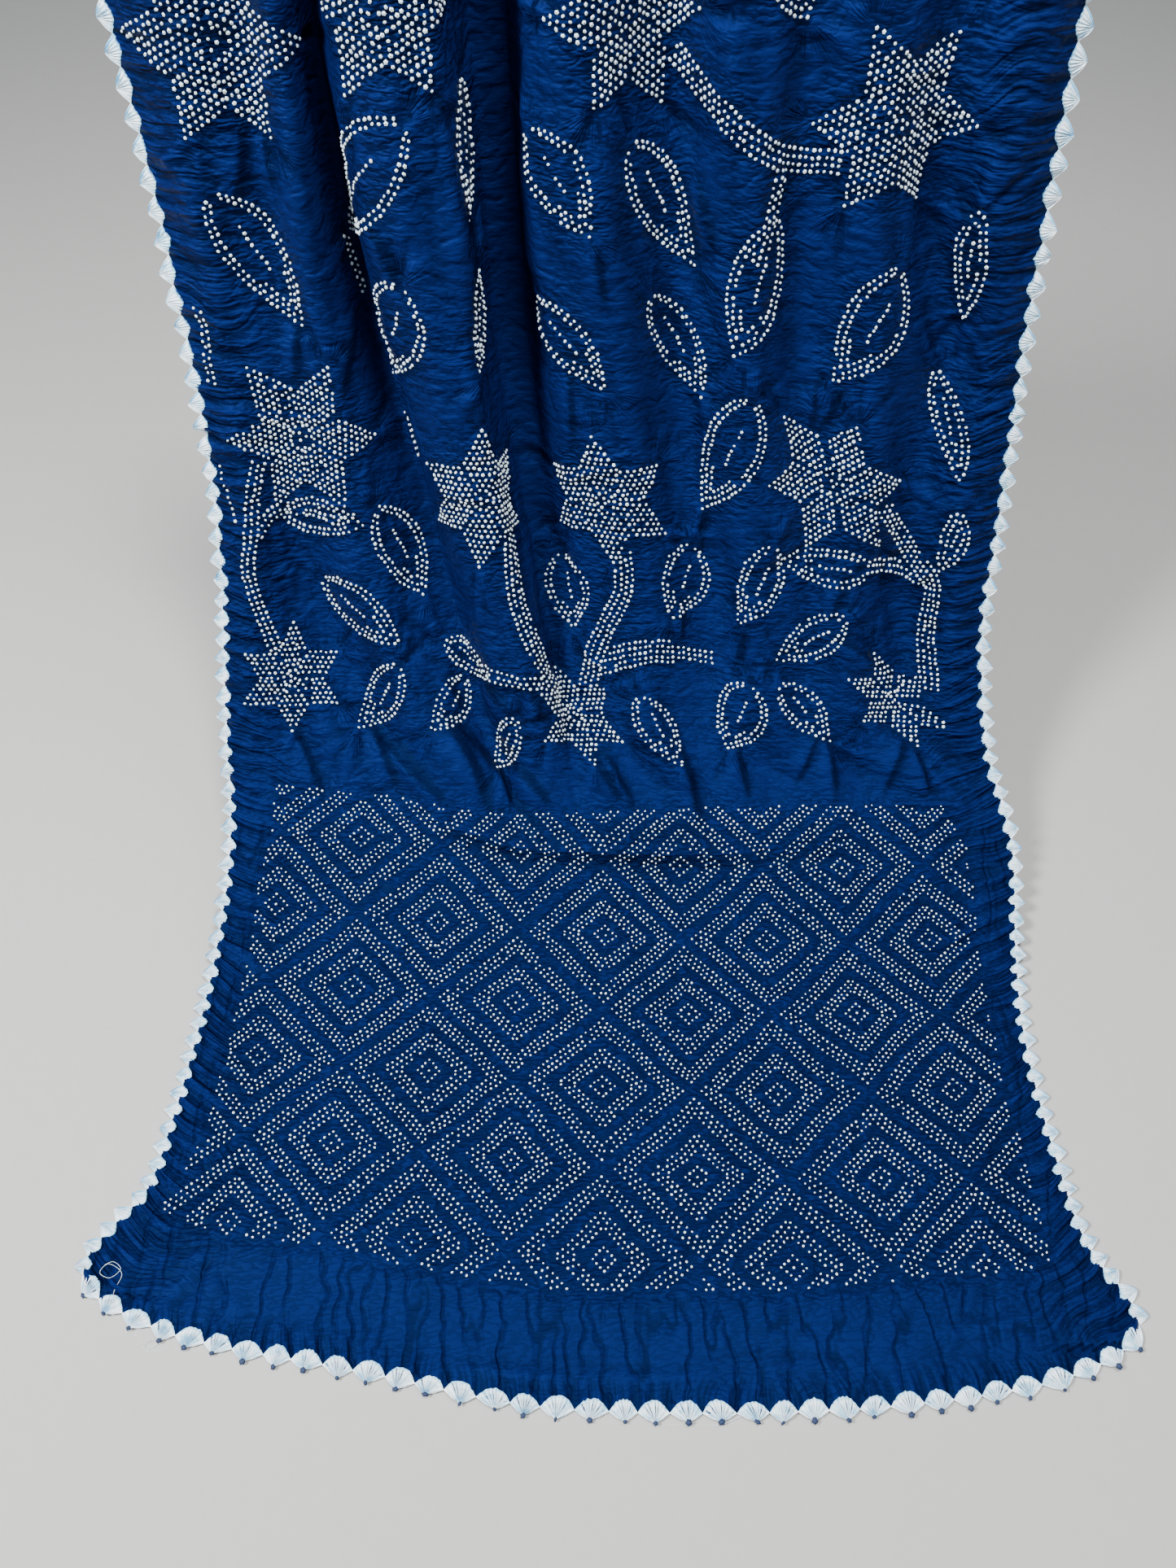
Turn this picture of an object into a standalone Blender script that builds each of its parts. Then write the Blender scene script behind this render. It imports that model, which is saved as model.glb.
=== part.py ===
"""A bandhani cloth, tied and dyed, that hangs from its top edge with its end panel lying on the floor.

The cloth is one thin sheet. It comes down in upright folds, turns forward near the floor and lies
flat towards the viewer. Both sides and the hem end in a row of small scallops. The top is a plain cut.
Metres, +Z up. The lying end points towards -Y.

A place on the sheet is given by two numbers: across, its distance to the right of the middle, and
along, its distance up the cloth from the front of the hem.
"""

import math
from collections import namedtuple

import bpy
import numpy as np
from mathutils import Vector
from mathutils.geometry import delaunay_2d_cdt

# Driving sizes
CLOTH_LENGTH = 1.63
CLOTH_THICKNESS = 0.002
HEM_SCALLOP_PITCH = 0.030
FLOOR_SCALLOP_PITCH = 0.018
TOP_SCALLOP_PITCH = 0.028
SCALLOP_DEPTH = 0.0085
HANGING_FROM = 0.56
ROW_SPACING = 0.040
COLUMN_SPACING = 0.030
LYING_SPACING = 0.085
LYING_HALF_WIDTH = 0.50
EDGE_CLEARANCE = 0.011
CURVE_STEPS = 12
SHARP_ANGLE = math.radians(75)
NODE_NAME = "cloth"

# The path that the middle of the cloth follows, from the front of the hem to the top edge
DrapePoint = namedtuple("DrapePoint", "back height")
DRAPE = (
    DrapePoint(0.000, 0.000),
    DrapePoint(0.180, 0.000),
    DrapePoint(0.333, 0.000),
    DrapePoint(0.423, 0.002),
    DrapePoint(0.503, 0.014),
    DrapePoint(0.583, 0.040),
    DrapePoint(0.663, 0.085),
    DrapePoint(0.743, 0.160),
    DrapePoint(0.813, 0.260),
    DrapePoint(0.873, 0.385),
    DrapePoint(0.918, 0.530),
    DrapePoint(0.948, 0.680),
    DrapePoint(0.968, 0.820),
    DrapePoint(0.978, 0.955),
)

# The scalloped edge, through the tips: down the left side, along the hem and up the right side
EdgePoint = namedtuple("EdgePoint", "across along")
LEFT_EDGE = (
    EdgePoint(-0.424, CLOTH_LENGTH),
    EdgePoint(-0.416, 1.350),
    EdgePoint(-0.414, 1.150),
    EdgePoint(-0.420, 0.950),
    EdgePoint(-0.435, 0.760),
    EdgePoint(-0.431, 0.610),
    EdgePoint(-0.438, 0.420),
    EdgePoint(-0.447, 0.290),
    EdgePoint(-0.457, 0.222),
    EdgePoint(-0.480, 0.190),
    EdgePoint(-0.501, 0.160),
    EdgePoint(-0.503, 0.130),
)
HEM_EDGE = (
    EdgePoint(-0.503, 0.130),
    EdgePoint(-0.487, 0.106),
    EdgePoint(-0.444, 0.083),
    EdgePoint(-0.370, 0.060),
    EdgePoint(-0.210, 0.034),
    EdgePoint(-0.060, 0.007),
    EdgePoint(0.090, 0.000),
    EdgePoint(0.260, 0.004),
    EdgePoint(0.400, 0.019),
    EdgePoint(0.475, 0.037),
    EdgePoint(0.520, 0.060),
    EdgePoint(0.537, 0.084),
)
RIGHT_EDGE = (
    EdgePoint(0.537, 0.084),
    EdgePoint(0.532, 0.118),
    EdgePoint(0.512, 0.148),
    EdgePoint(0.499, 0.190),
    EdgePoint(0.491, 0.290),
    EdgePoint(0.490, 0.380),
    EdgePoint(0.498, 0.470),
    EdgePoint(0.510, 0.580),
    EdgePoint(0.504, 0.645),
    EdgePoint(0.480, 0.730),
    EdgePoint(0.464, 0.870),
    EdgePoint(0.463, 1.020),
    EdgePoint(0.450, 1.190),
    EdgePoint(0.438, 1.340),
    EdgePoint(0.428, 1.470),
    EdgePoint(0.427, CLOTH_LENGTH),
)

# The upright folds, left to right. Each has its place across and how far it stands out of the
# drape, in millimetres, at these distances along the cloth.
FOLD_LEVELS = (1.63, 1.44, 1.30, 1.15, 1.00, 0.86, 0.76, 0.68, 0.60, 0.50)
Fold = namedtuple("Fold", "name across_mm out_mm")
FOLDS = (
    Fold("left edge",
         (-424, -420, -415, -414, -419, -427, -435, -433, -431, -435),
         (-26, -24, -18, -8, -2, 0, 0, 0, 0, 0)),
    Fold("left margin ridge",
         (-340, -340, -362, -370, -372, -385, -388, -380, -378, -370),
         (12, 12, 11, 8, 10, 12, 8, 3, 0, 0)),
    Fold("left valley",
         (-292, -294, -303, -316, -333, -299, -262, -226, -210, -240),
         (-4, -6, -9, -3, -10, -24, -16, -4, 0, 0)),
    Fold("left ridge",
         (-262, -262, -268, -264, -262, -238, -206, -166, -150, -190),
         (12, 12, 13, 8, 10, 13, 10, 5, 0, 0)),
    Fold("first valley",
         (-236, -239, -235, -215, -182, -150, -122, -98, -82, -140),
         (-38, -39, -42, -41, -36, -29, -20, -8, 0, 0)),
    Fold("front fold, left shoulder",
         (-208, -212, -206, -182, -150, -118, -94, -74, -62, -110),
         (26, 27, 28, 26, 25, 23, 16, 6, 0, 0)),
    Fold("front fold, crest",
         (-164, -166, -156, -141, -112, -82, -60, -46, -38, -80),
         (45, 46, 46, 44, 42, 37, 24, 10, 1, 0)),
    Fold("front fold, brow",
         (-128, -127, -121, -114, -93, -63, -43, -28, -20, -50),
         (38, 39, 39, 39, 37, 29, 14, 4, 0, 0)),
    Fold("deep valley, left foot",
         (-107, -107, -101, -93, -72, -44, -26, -14, -6, -25),
         (-42, -46, -46, -41, -32, -20, -9, -2, 0, 0)),
    Fold("deep valley, right foot",
         (-76, -73, -69, -63, -45, -20, -4, 6, 12, 0),
         (-46, -53, -56, -50, -36, -19, -8, -2, 0, 0)),
    Fold("middle fold, brow",
         (-52, -51, -48, -37, -14, 12, 24, 30, 34, 30),
         (4, 5, 4, 1, -3, -4, -1, 1, 0, 0)),
    Fold("middle fold, crest",
         (-14, -10, 10, 32, 46, 60, 64, 66, 68, 70),
         (26, 27, 26, 21, 14, 8, 7, 3, 0, 0)),
    Fold("right valley",
         (70, 75, 80, 89, 120, 146, 142, 138, 136, 138),
         (-26, -26, -24, -21, -17, -14, -7, -1, 0, 0)),
    Fold("broad ridge",
         (121, 126, 152, 165, 184, 200, 202, 204, 204, 200),
         (26, 25, 21, 18, 15, 14, 10, 4, 0, 0)),
    Fold("shallow valley",
         (194, 197, 204, 222, 245, 252, 252, 252, 252, 250),
         (2, 1, -8, -12, -2, 3, 2, 1, 0, 0)),
    Fold("second broad ridge",
         (248, 252, 272, 295, 300, 300, 302, 304, 306, 310),
         (17, 16, 15, 13, 14, 12, 9, 4, 0, 0)),
    Fold("far valley",
         (312, 315, 331, 371, 360, 379, 368, 362, 360, 370),
         (-6, -10, -27, -24, -12, -26, -12, -2, 0, 0)),
    Fold("right margin ridge",
         (366, 370, 383, 412, 415, 422, 425, 430, 435, 430),
         (11, 11, 10, 7, 10, 7, 4, 2, 0, 0)),
    Fold("right edge",
         (427, 429, 441, 454, 463, 465, 474, 494, 509, 501),
         (-14, -12, -8, -4, -2, 0, 0, 0, 0, 0)),
)

# Slanting creases where the hanging cloth meets the floor, from one end to the other. Width is
# from the line to where the crease is mostly gone. A positive rise is a ridge, a negative one a trough.
Crease = namedtuple("Crease", "across_1 along_1 across_2 along_2 width rise")
CREASES = (
    Crease(-0.385, 0.790, -0.320, 0.690, 0.020, -0.009),
    Crease(-0.345, 0.800, -0.270, 0.690, 0.020, 0.009),
    Crease(-0.160, 0.800, -0.085, 0.650, 0.018, -0.008),
    Crease(0.010, 0.780, 0.080, 0.650, 0.020, -0.010),
    Crease(0.060, 0.770, 0.110, 0.690, 0.020, 0.009),
    Crease(0.172, 0.745, 0.235, 0.660, 0.020, -0.009),
    Crease(0.300, 0.740, 0.330, 0.650, 0.020, -0.008),
    Crease(0.336, 0.760, 0.400, 0.660, 0.020, 0.009),
    Crease(-0.080, 0.622, 0.180, 0.606, 0.018, 0.007),
    Crease(0.180, 0.606, 0.300, 0.616, 0.016, 0.004),
    Crease(0.300, 0.940, 0.375, 0.860, 0.022, -0.010),
)


def smooth_curve(points):
    """Many points of a smooth curve through the given few."""
    points = [np.array(point) for point in points]
    ends = [2 * points[0] - points[1], *points, 2 * points[-1] - points[-2]]
    curve = []
    for before, start, end, after in zip(ends, ends[1:], ends[2:], ends[3:]):
        for t in np.arange(CURVE_STEPS) / CURVE_STEPS:
            curve.append(0.5 * (2 * start + (end - before) * t
                                + (2 * before - 5 * start + 4 * end - after) * t ** 2
                                + (3 * start - before - 3 * end + after) * t ** 3))
    return np.array([*curve, points[-1]])


def lengths_along(line):
    """Distance of each point of a line from its first point."""
    return np.concatenate([[0.0], np.cumsum(np.linalg.norm(np.diff(line, axis=0), axis=1))])


def ease(knots, values, wanted):
    """Values read between knots on a curve that never overshoots them.

    Each row of knots rises from left to right and goes with one wanted place.
    """
    step = np.diff(knots, axis=1)
    slope = np.diff(values, axis=1) / step
    before, after = slope[:, :-1], slope[:, 1:]
    same_way = before * after > 0
    turn = np.where(same_way, 2 * before * after / np.where(same_way, before + after, 1), 0)
    tangent = np.concatenate([slope[:, :1], turn, slope[:, -1:]], axis=1)
    span = np.clip((knots < wanted[:, None]).sum(axis=1) - 1, 0, step.shape[1] - 1)
    row = np.arange(len(wanted))
    width = step[row, span]
    t = np.clip((wanted - knots[row, span]) / width, 0, 1)
    return ((1 + 2 * t) * (1 - t) ** 2 * values[row, span]
            + t * (1 - t) ** 2 * width * tangent[row, span]
            + t * t * (3 - 2 * t) * values[row, span + 1]
            + t * t * (t - 1) * width * tangent[row, span + 1])


def fold_lines(along):
    """Where every fold lies across and how far it stands out, for each distance along."""
    levels = np.tile(FOLD_LEVELS[::-1], (len(along), 1))
    across, out = [], []
    for fold in FOLDS:
        rows = np.tile(fold.across_mm[::-1], (len(along), 1)) / 1000
        across.append(ease(levels, rows, along))
        rows = np.tile(fold.out_mm[::-1], (len(along), 1)) / 1000
        out.append(ease(levels, rows, along))
    return np.stack(across, axis=1), np.stack(out, axis=1)


def crease_rise(crease, across, along):
    """How far one slanting crease lifts the sheet at each place."""
    start = np.array([crease.across_1, crease.along_1])
    run = np.array([crease.across_2, crease.along_2]) - start
    place = np.stack([across, along], axis=1) - start
    share = np.clip(place @ run / (run @ run), 0, 1)
    gap = np.linalg.norm(place - share[:, None] * run, axis=1)
    return crease.rise * np.exp(-(gap / crease.width) ** 2) * np.sin(np.pi * (0.1 + 0.8 * share))


def sheet_points(across, along):
    """Places in space of points on the middle of the sheet's underside."""
    line = smooth_curve(DRAPE)
    reach = lengths_along(line)
    reach *= CLOTH_LENGTH / reach[-1]
    heading = np.gradient(line, axis=0)
    back = np.interp(along, reach, line[:, 0])
    height = np.interp(along, reach, line[:, 1])
    turn = np.interp(along, reach, np.arctan2(heading[:, 1], heading[:, 0]))
    knots, values = fold_lines(along)
    out = ease(knots, values, across)
    for crease in CREASES:
        out = out + crease_rise(crease, across, along)
    raised = np.maximum(height + out * np.cos(turn), 0)
    return np.stack([across, back - out * np.sin(turn), raised], axis=1)


def scalloped(points, first_pitch, last_pitch):
    """One side of the cloth's outline, as scallops: notch, shoulder, tip, shoulder and the last notch."""
    line = smooth_curve(points)
    reach = lengths_along(line)
    count = round(2 * reach[-1] / (first_pitch + last_pitch))
    notches = np.cumsum([0, *np.geomspace(first_pitch, last_pitch, count)])
    notches *= reach[-1] / notches[-1]
    depths = (1.0, 0.38, 0.0, 0.38)
    numbers = np.arange(len(depths) * count + 1)
    steps = np.interp(numbers / len(depths), np.arange(count + 1), notches)
    inset = np.resize(depths, len(steps)) * SCALLOP_DEPTH
    heading = np.gradient(line, axis=0)
    inward = np.stack([-heading[:, 1], heading[:, 0]], axis=1) / np.linalg.norm(heading, axis=1)[:, None]
    edge = [np.interp(steps, reach, line[:, axis]) + inset * np.interp(steps, reach, inward[:, axis])
            for axis in (0, 1)]
    return np.stack(edge, axis=1)


def outline():
    """The cloth's scalloped edge, from the top left corner round to the top right one."""
    left = scalloped(LEFT_EDGE, TOP_SCALLOP_PITCH, FLOOR_SCALLOP_PITCH)
    hem = scalloped(HEM_EDGE, HEM_SCALLOP_PITCH, HEM_SCALLOP_PITCH)
    right = scalloped(RIGHT_EDGE, FLOOR_SCALLOP_PITCH, TOP_SCALLOP_PITCH)
    edge = np.concatenate([left, hem[1:], right[1:]])
    edge[[0, -1], 1] = CLOTH_LENGTH
    return edge


def fold_columns():
    """Shares from one fold to the next, with more of them where two folds lie far apart."""
    middle, _ = fold_lines(np.array([1.15]))
    columns = [0.0]
    for fold, gap in enumerate(np.diff(middle[0])):
        parts = max(2, round(gap / COLUMN_SPACING))
        columns += [fold + part / parts for part in range(1, parts + 1)]
    return np.array(columns)


def to_columns(across, along):
    """The fold number, with its share to the next one, of each place on the sheet."""
    knots, _ = fold_lines(along)
    numbers = np.arange(len(FOLDS))
    found = np.array([np.interp(x, row, numbers) for x, row in zip(across, knots)])
    width = (knots[:, -1] - knots[:, 0]) / numbers[-1]
    return found + np.minimum(across - knots[:, 0], 0) / width + np.maximum(across - knots[:, -1], 0) / width


def inner_points():
    """Points inside the outline: on the folds where the cloth hangs, and widely spaced on the floor."""
    columns = fold_columns()
    rows = np.linspace(CLOTH_LENGTH, HANGING_FROM, round((CLOTH_LENGTH - HANGING_FROM) / ROW_SPACING) + 1)
    points = []
    for along in rows:
        knots, _ = fold_lines(np.array([along]))
        across = np.interp(columns, np.arange(len(FOLDS)), knots[0])
        points += [(x, along) for x in across[1:-1]]
    lying_rows = np.arange(HANGING_FROM - LYING_SPACING, 0, -LYING_SPACING)
    for number, along in enumerate(lying_rows):
        shift = LYING_SPACING / 2 * (number % 2)
        points += [(x + shift, along) for x in np.arange(-LYING_HALF_WIDTH, LYING_HALF_WIDTH, LYING_SPACING)]
    return np.array(points)


def gap_to_edge(points, edge):
    """Signed gap from each point to the outline, positive inside it."""
    start, end = edge, np.roll(edge, -1, axis=0)
    run = end - start
    place = points[:, None] - start
    share = np.clip((place * run).sum(axis=2) / (run * run).sum(axis=1), 0, 1)
    gap = np.linalg.norm(place - share[..., None] * run, axis=2).min(axis=1)
    above = (start[:, 1] > points[:, None, 1]) != (end[:, 1] > points[:, None, 1])
    level = np.where(run[:, 1] == 0, 1, run[:, 1])
    crossing = start[:, 0] + (points[:, None, 1] - start[:, 1]) * run[:, 0] / level
    inside = (above & (points[:, None, 0] < crossing)).sum(axis=1) % 2
    return np.where(inside, gap, -gap)


def flat_pattern():
    """The cloth's points, across and along, and its triangles."""
    edge = outline()
    points = inner_points()
    top = points[points[:, 1] == CLOTH_LENGTH]
    top = top[(top[:, 0] > edge[0, 0] + EDGE_CLEARANCE) & (top[:, 0] < edge[-1, 0] - EDGE_CLEARANCE)]
    edge = np.concatenate([edge, top[::-1]])
    points = points[gap_to_edge(points, edge) > EDGE_CLEARANCE]
    points = np.concatenate([edge, points])
    plan = np.stack([to_columns(points[:, 0], points[:, 1]) * COLUMN_SPACING, points[:, 1]], axis=1)
    rim = list(range(len(edge)))
    _, _, faces, order, _, _ = delaunay_2d_cdt([Vector(place) for place in plan], [], [rim], 1, 1e-6)
    origin = [source[0] for source in order]
    faces = [[origin[corner] for corner in face] for face in faces]
    return points, faces, rim


def corner_normals(places, faces):
    """The sheet's normal at each point, from the triangles around it."""
    normals = np.zeros_like(places)
    faces = np.array(faces)
    corners = places[faces]
    facing = np.cross(corners[:, 1] - corners[:, 0], corners[:, 2] - corners[:, 0])
    for corner in range(3):
        np.add.at(normals, faces[:, corner], facing)
    return normals / np.linalg.norm(normals, axis=1)[:, None]


def facing_out(places, faces):
    """The triangles, turned so that they face the viewer and the sky."""
    corners = places[np.array(faces)]
    facing = np.cross(corners[:, 1] - corners[:, 0], corners[:, 2] - corners[:, 0])
    turned = facing[:, 2] - facing[:, 1] < 0
    return [face[::-1] if flip else face for face, flip in zip(faces, turned)]


def cloth_mesh():
    """The sheet as one closed skin: upper face, underside and the rim between them."""
    pattern, faces, rim = flat_pattern()
    under = sheet_points(pattern[:, 0], pattern[:, 1])
    faces = facing_out(under, faces)
    normals = corner_normals(under, faces)
    upper = under + CLOTH_THICKNESS * normals
    upper[:, 2] = np.maximum(upper[:, 2], CLOTH_THICKNESS)
    places = np.concatenate([upper, under])
    count = len(pattern)
    skin = [tuple(face) for face in faces]
    skin += [tuple(corner + count for corner in reversed(face)) for face in faces]
    for here, there in zip(rim, rim[1:] + rim[:1]):
        skin += [(here, here + count, there + count), (here, there + count, there)]
    low, high = places.min(axis=0), places.max(axis=0)
    places -= ((low[0] + high[0]) / 2, (low[1] + high[1]) / 2, low[2])
    mesh = bpy.data.meshes.new(NODE_NAME)
    mesh.from_pydata([tuple(place) for place in places.tolist()], [], skin)
    mesh.validate()
    return mesh


def dyed_silk():
    """Dark blue silk with a soft shine."""
    material = bpy.data.materials.new("dyed_silk")
    material.use_nodes = True
    shader = material.node_tree.nodes["Principled BSDF"]
    shader.inputs["Base Color"].default_value = (0.004, 0.030, 0.120, 1)
    shader.inputs["Roughness"].default_value = 0.6
    shader.inputs["Metallic"].default_value = 0.0
    return material


def main():
    for thing in list(bpy.data.objects):
        bpy.data.objects.remove(thing)
    mesh = cloth_mesh()
    mesh.shade_smooth()
    mesh.set_sharp_from_angle(angle=SHARP_ANGLE)
    mesh.materials.append(dyed_silk())
    cloth = bpy.data.objects.new(NODE_NAME, mesh)
    bpy.context.scene.collection.objects.link(cloth)


main()
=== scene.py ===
"""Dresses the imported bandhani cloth: puckered silk, tied dots, scalloped edge, knots and loose threads.

It is laid out as an add-on and run as a script. Metres, +Z up, the lying end towards -Y.

A place on the cloth is given in one of two ways. Across and along say where it is in the room: the
distance to the right of the middle and the distance up the drape from the front of the hem. Width and
along say where it is on the cloth itself, which runs in and out of the folds.
"""

import math
from collections import namedtuple

import bpy
import numpy as np
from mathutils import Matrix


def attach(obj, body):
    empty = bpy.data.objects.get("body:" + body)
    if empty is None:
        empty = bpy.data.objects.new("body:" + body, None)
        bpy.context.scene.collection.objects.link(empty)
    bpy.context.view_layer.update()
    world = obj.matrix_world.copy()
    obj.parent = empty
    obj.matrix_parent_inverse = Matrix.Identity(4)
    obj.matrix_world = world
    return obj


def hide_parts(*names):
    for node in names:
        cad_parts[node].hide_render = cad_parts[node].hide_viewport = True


bl_info = {
    "name": "Bandhani cloth",
    "version": (1, 0, 0),
    "blender": (4, 5, 0),
    "location": "3D View > Sidebar > Cloth",
    "description": "Builds the puckered silk, tied dots, scalloped edge and knots of a hanging bandhani cloth",
    "category": "Add Mesh",
}

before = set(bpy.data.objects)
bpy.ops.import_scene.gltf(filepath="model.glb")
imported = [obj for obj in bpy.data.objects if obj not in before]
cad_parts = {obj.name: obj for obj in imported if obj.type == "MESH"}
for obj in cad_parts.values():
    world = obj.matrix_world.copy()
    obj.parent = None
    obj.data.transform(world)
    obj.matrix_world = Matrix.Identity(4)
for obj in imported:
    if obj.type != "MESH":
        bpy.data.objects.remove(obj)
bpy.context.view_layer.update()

# The solid that this cloth stands for
CLOTH_LENGTH = 1.63
CLOTH_THICKNESS = 0.002
TO_FRAME = np.array([-0.0165, -0.5119, 0.0])
CURVE_STEPS = 12
LEVELS = 816

# How far the silk lies in front of the middle of the solid, and the lowest that it comes to the floor
SHEET_LIFT = CLOTH_THICKNESS / 2 + 0.0004
SHEET_CLEARANCE = 0.0006

# The pleated edge: half its thickness, how far its front and back stay above the floor, and how far it
# reaches in over the cloth
EDGE_HALF = 0.0006
EDGE_FRONT_CLEARANCE = 0.0012
EDGE_BACK_CLEARANCE = 0.0003
HEM_REACH_IN = 0.0104
SIDE_REACH_IN = 0.0088
PLEAT_STEPS = 5
SCALLOP_POINTS = 17

# The knots of tying thread at the tips of the hem
KNOT_SIZE = 0.0062
KNOT_HEIGHT = 0.0018

NUB_SIDES = 5
THREAD_SIDES = 5

# The viewer: where the camera stands, how far it is turned up from looking straight down, and its lens
CAMERA_PLACE = (-0.0165, -0.629, 1.2)
CAMERA_TURN = math.radians(34.95)
CAMERA_LENS = 26.15
CAMERA_SENSOR = 36.0
LIGHTS_AIM = (0.0, 0.05, 0.30)
FLOOR_HALF = 9

# The path that the middle of the cloth follows, from the front of the hem to the top edge
DrapePoint = namedtuple("DrapePoint", "back height")
DRAPE = (
    DrapePoint(0.000, 0.000),
    DrapePoint(0.180, 0.000),
    DrapePoint(0.333, 0.000),
    DrapePoint(0.423, 0.002),
    DrapePoint(0.503, 0.014),
    DrapePoint(0.583, 0.040),
    DrapePoint(0.663, 0.085),
    DrapePoint(0.743, 0.160),
    DrapePoint(0.813, 0.260),
    DrapePoint(0.873, 0.385),
    DrapePoint(0.918, 0.530),
    DrapePoint(0.948, 0.680),
    DrapePoint(0.968, 0.820),
    DrapePoint(0.978, 0.955),
)

# The scalloped edge, through the tips: down the left side, along the hem and up the right side
EdgePoint = namedtuple("EdgePoint", "across along")
LEFT_EDGE = (
    EdgePoint(-0.424, CLOTH_LENGTH),
    EdgePoint(-0.416, 1.350),
    EdgePoint(-0.414, 1.150),
    EdgePoint(-0.420, 0.950),
    EdgePoint(-0.435, 0.760),
    EdgePoint(-0.431, 0.610),
    EdgePoint(-0.438, 0.420),
    EdgePoint(-0.447, 0.290),
    EdgePoint(-0.457, 0.222),
    EdgePoint(-0.480, 0.190),
    EdgePoint(-0.501, 0.160),
    EdgePoint(-0.503, 0.130),
)
HEM_EDGE = (
    EdgePoint(-0.503, 0.130),
    EdgePoint(-0.487, 0.106),
    EdgePoint(-0.444, 0.083),
    EdgePoint(-0.370, 0.060),
    EdgePoint(-0.210, 0.034),
    EdgePoint(-0.060, 0.007),
    EdgePoint(0.090, 0.000),
    EdgePoint(0.260, 0.004),
    EdgePoint(0.400, 0.019),
    EdgePoint(0.475, 0.037),
    EdgePoint(0.520, 0.060),
    EdgePoint(0.537, 0.084),
)
RIGHT_EDGE = (
    EdgePoint(0.537, 0.084),
    EdgePoint(0.532, 0.118),
    EdgePoint(0.512, 0.148),
    EdgePoint(0.499, 0.190),
    EdgePoint(0.491, 0.290),
    EdgePoint(0.490, 0.380),
    EdgePoint(0.498, 0.470),
    EdgePoint(0.510, 0.580),
    EdgePoint(0.504, 0.645),
    EdgePoint(0.480, 0.730),
    EdgePoint(0.464, 0.870),
    EdgePoint(0.463, 1.020),
    EdgePoint(0.450, 1.190),
    EdgePoint(0.438, 1.340),
    EdgePoint(0.428, 1.470),
    EdgePoint(0.427, CLOTH_LENGTH),
)

# The upright folds, left to right. Each has its place across and how far it stands out of the
# drape, in millimetres, at these distances along the cloth.
FOLD_LEVELS = (1.63, 1.44, 1.30, 1.15, 1.00, 0.86, 0.76, 0.68, 0.60, 0.50)
Fold = namedtuple("Fold", "name across_mm out_mm")
FOLDS = (
    Fold("left edge",
         (-424, -420, -415, -414, -419, -427, -435, -433, -431, -435),
         (-26, -24, -18, -8, -2, 0, 0, 0, 0, 0)),
    Fold("left margin ridge",
         (-340, -340, -362, -370, -372, -385, -388, -380, -378, -370),
         (12, 12, 11, 8, 10, 12, 8, 3, 0, 0)),
    Fold("left valley",
         (-292, -294, -303, -316, -333, -299, -262, -226, -210, -240),
         (-4, -6, -9, -3, -10, -24, -16, -4, 0, 0)),
    Fold("left ridge",
         (-262, -262, -268, -264, -262, -238, -206, -166, -150, -190),
         (12, 12, 13, 8, 10, 13, 10, 5, 0, 0)),
    Fold("first valley",
         (-236, -239, -235, -215, -182, -150, -122, -98, -82, -140),
         (-38, -39, -42, -41, -36, -29, -20, -8, 0, 0)),
    Fold("front fold, left shoulder",
         (-208, -212, -206, -182, -150, -118, -94, -74, -62, -110),
         (26, 27, 28, 26, 25, 23, 16, 6, 0, 0)),
    Fold("front fold, crest",
         (-164, -166, -156, -141, -112, -82, -60, -46, -38, -80),
         (45, 46, 46, 44, 42, 37, 24, 10, 1, 0)),
    Fold("front fold, brow",
         (-128, -127, -121, -114, -93, -63, -43, -28, -20, -50),
         (38, 39, 39, 39, 37, 29, 14, 4, 0, 0)),
    Fold("deep valley, left foot",
         (-107, -107, -101, -93, -72, -44, -26, -14, -6, -25),
         (-42, -46, -46, -41, -32, -20, -9, -2, 0, 0)),
    Fold("deep valley, right foot",
         (-76, -73, -69, -63, -45, -20, -4, 6, 12, 0),
         (-46, -53, -56, -50, -36, -19, -8, -2, 0, 0)),
    Fold("middle fold, brow",
         (-52, -51, -48, -37, -14, 12, 24, 30, 34, 30),
         (4, 5, 4, 1, -3, -4, -1, 1, 0, 0)),
    Fold("middle fold, crest",
         (-14, -10, 10, 32, 46, 60, 64, 66, 68, 70),
         (26, 27, 26, 21, 14, 8, 7, 3, 0, 0)),
    Fold("right valley",
         (70, 75, 80, 89, 120, 146, 142, 138, 136, 138),
         (-26, -26, -24, -21, -17, -14, -7, -1, 0, 0)),
    Fold("broad ridge",
         (121, 126, 152, 165, 184, 200, 202, 204, 204, 200),
         (26, 25, 21, 18, 15, 14, 10, 4, 0, 0)),
    Fold("shallow valley",
         (194, 197, 204, 222, 245, 252, 252, 252, 252, 250),
         (2, 1, -8, -12, -2, 3, 2, 1, 0, 0)),
    Fold("second broad ridge",
         (248, 252, 272, 295, 300, 300, 302, 304, 306, 310),
         (17, 16, 15, 13, 14, 12, 9, 4, 0, 0)),
    Fold("far valley",
         (312, 315, 331, 371, 360, 379, 368, 362, 360, 370),
         (-6, -10, -27, -24, -12, -26, -12, -2, 0, 0)),
    Fold("right margin ridge",
         (366, 370, 383, 412, 415, 422, 425, 430, 435, 430),
         (11, 11, 10, 7, 10, 7, 4, 2, 0, 0)),
    Fold("right edge",
         (427, 429, 441, 454, 463, 465, 474, 494, 509, 501),
         (-14, -12, -8, -4, -2, 0, 0, 0, 0, 0)),
)

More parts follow.
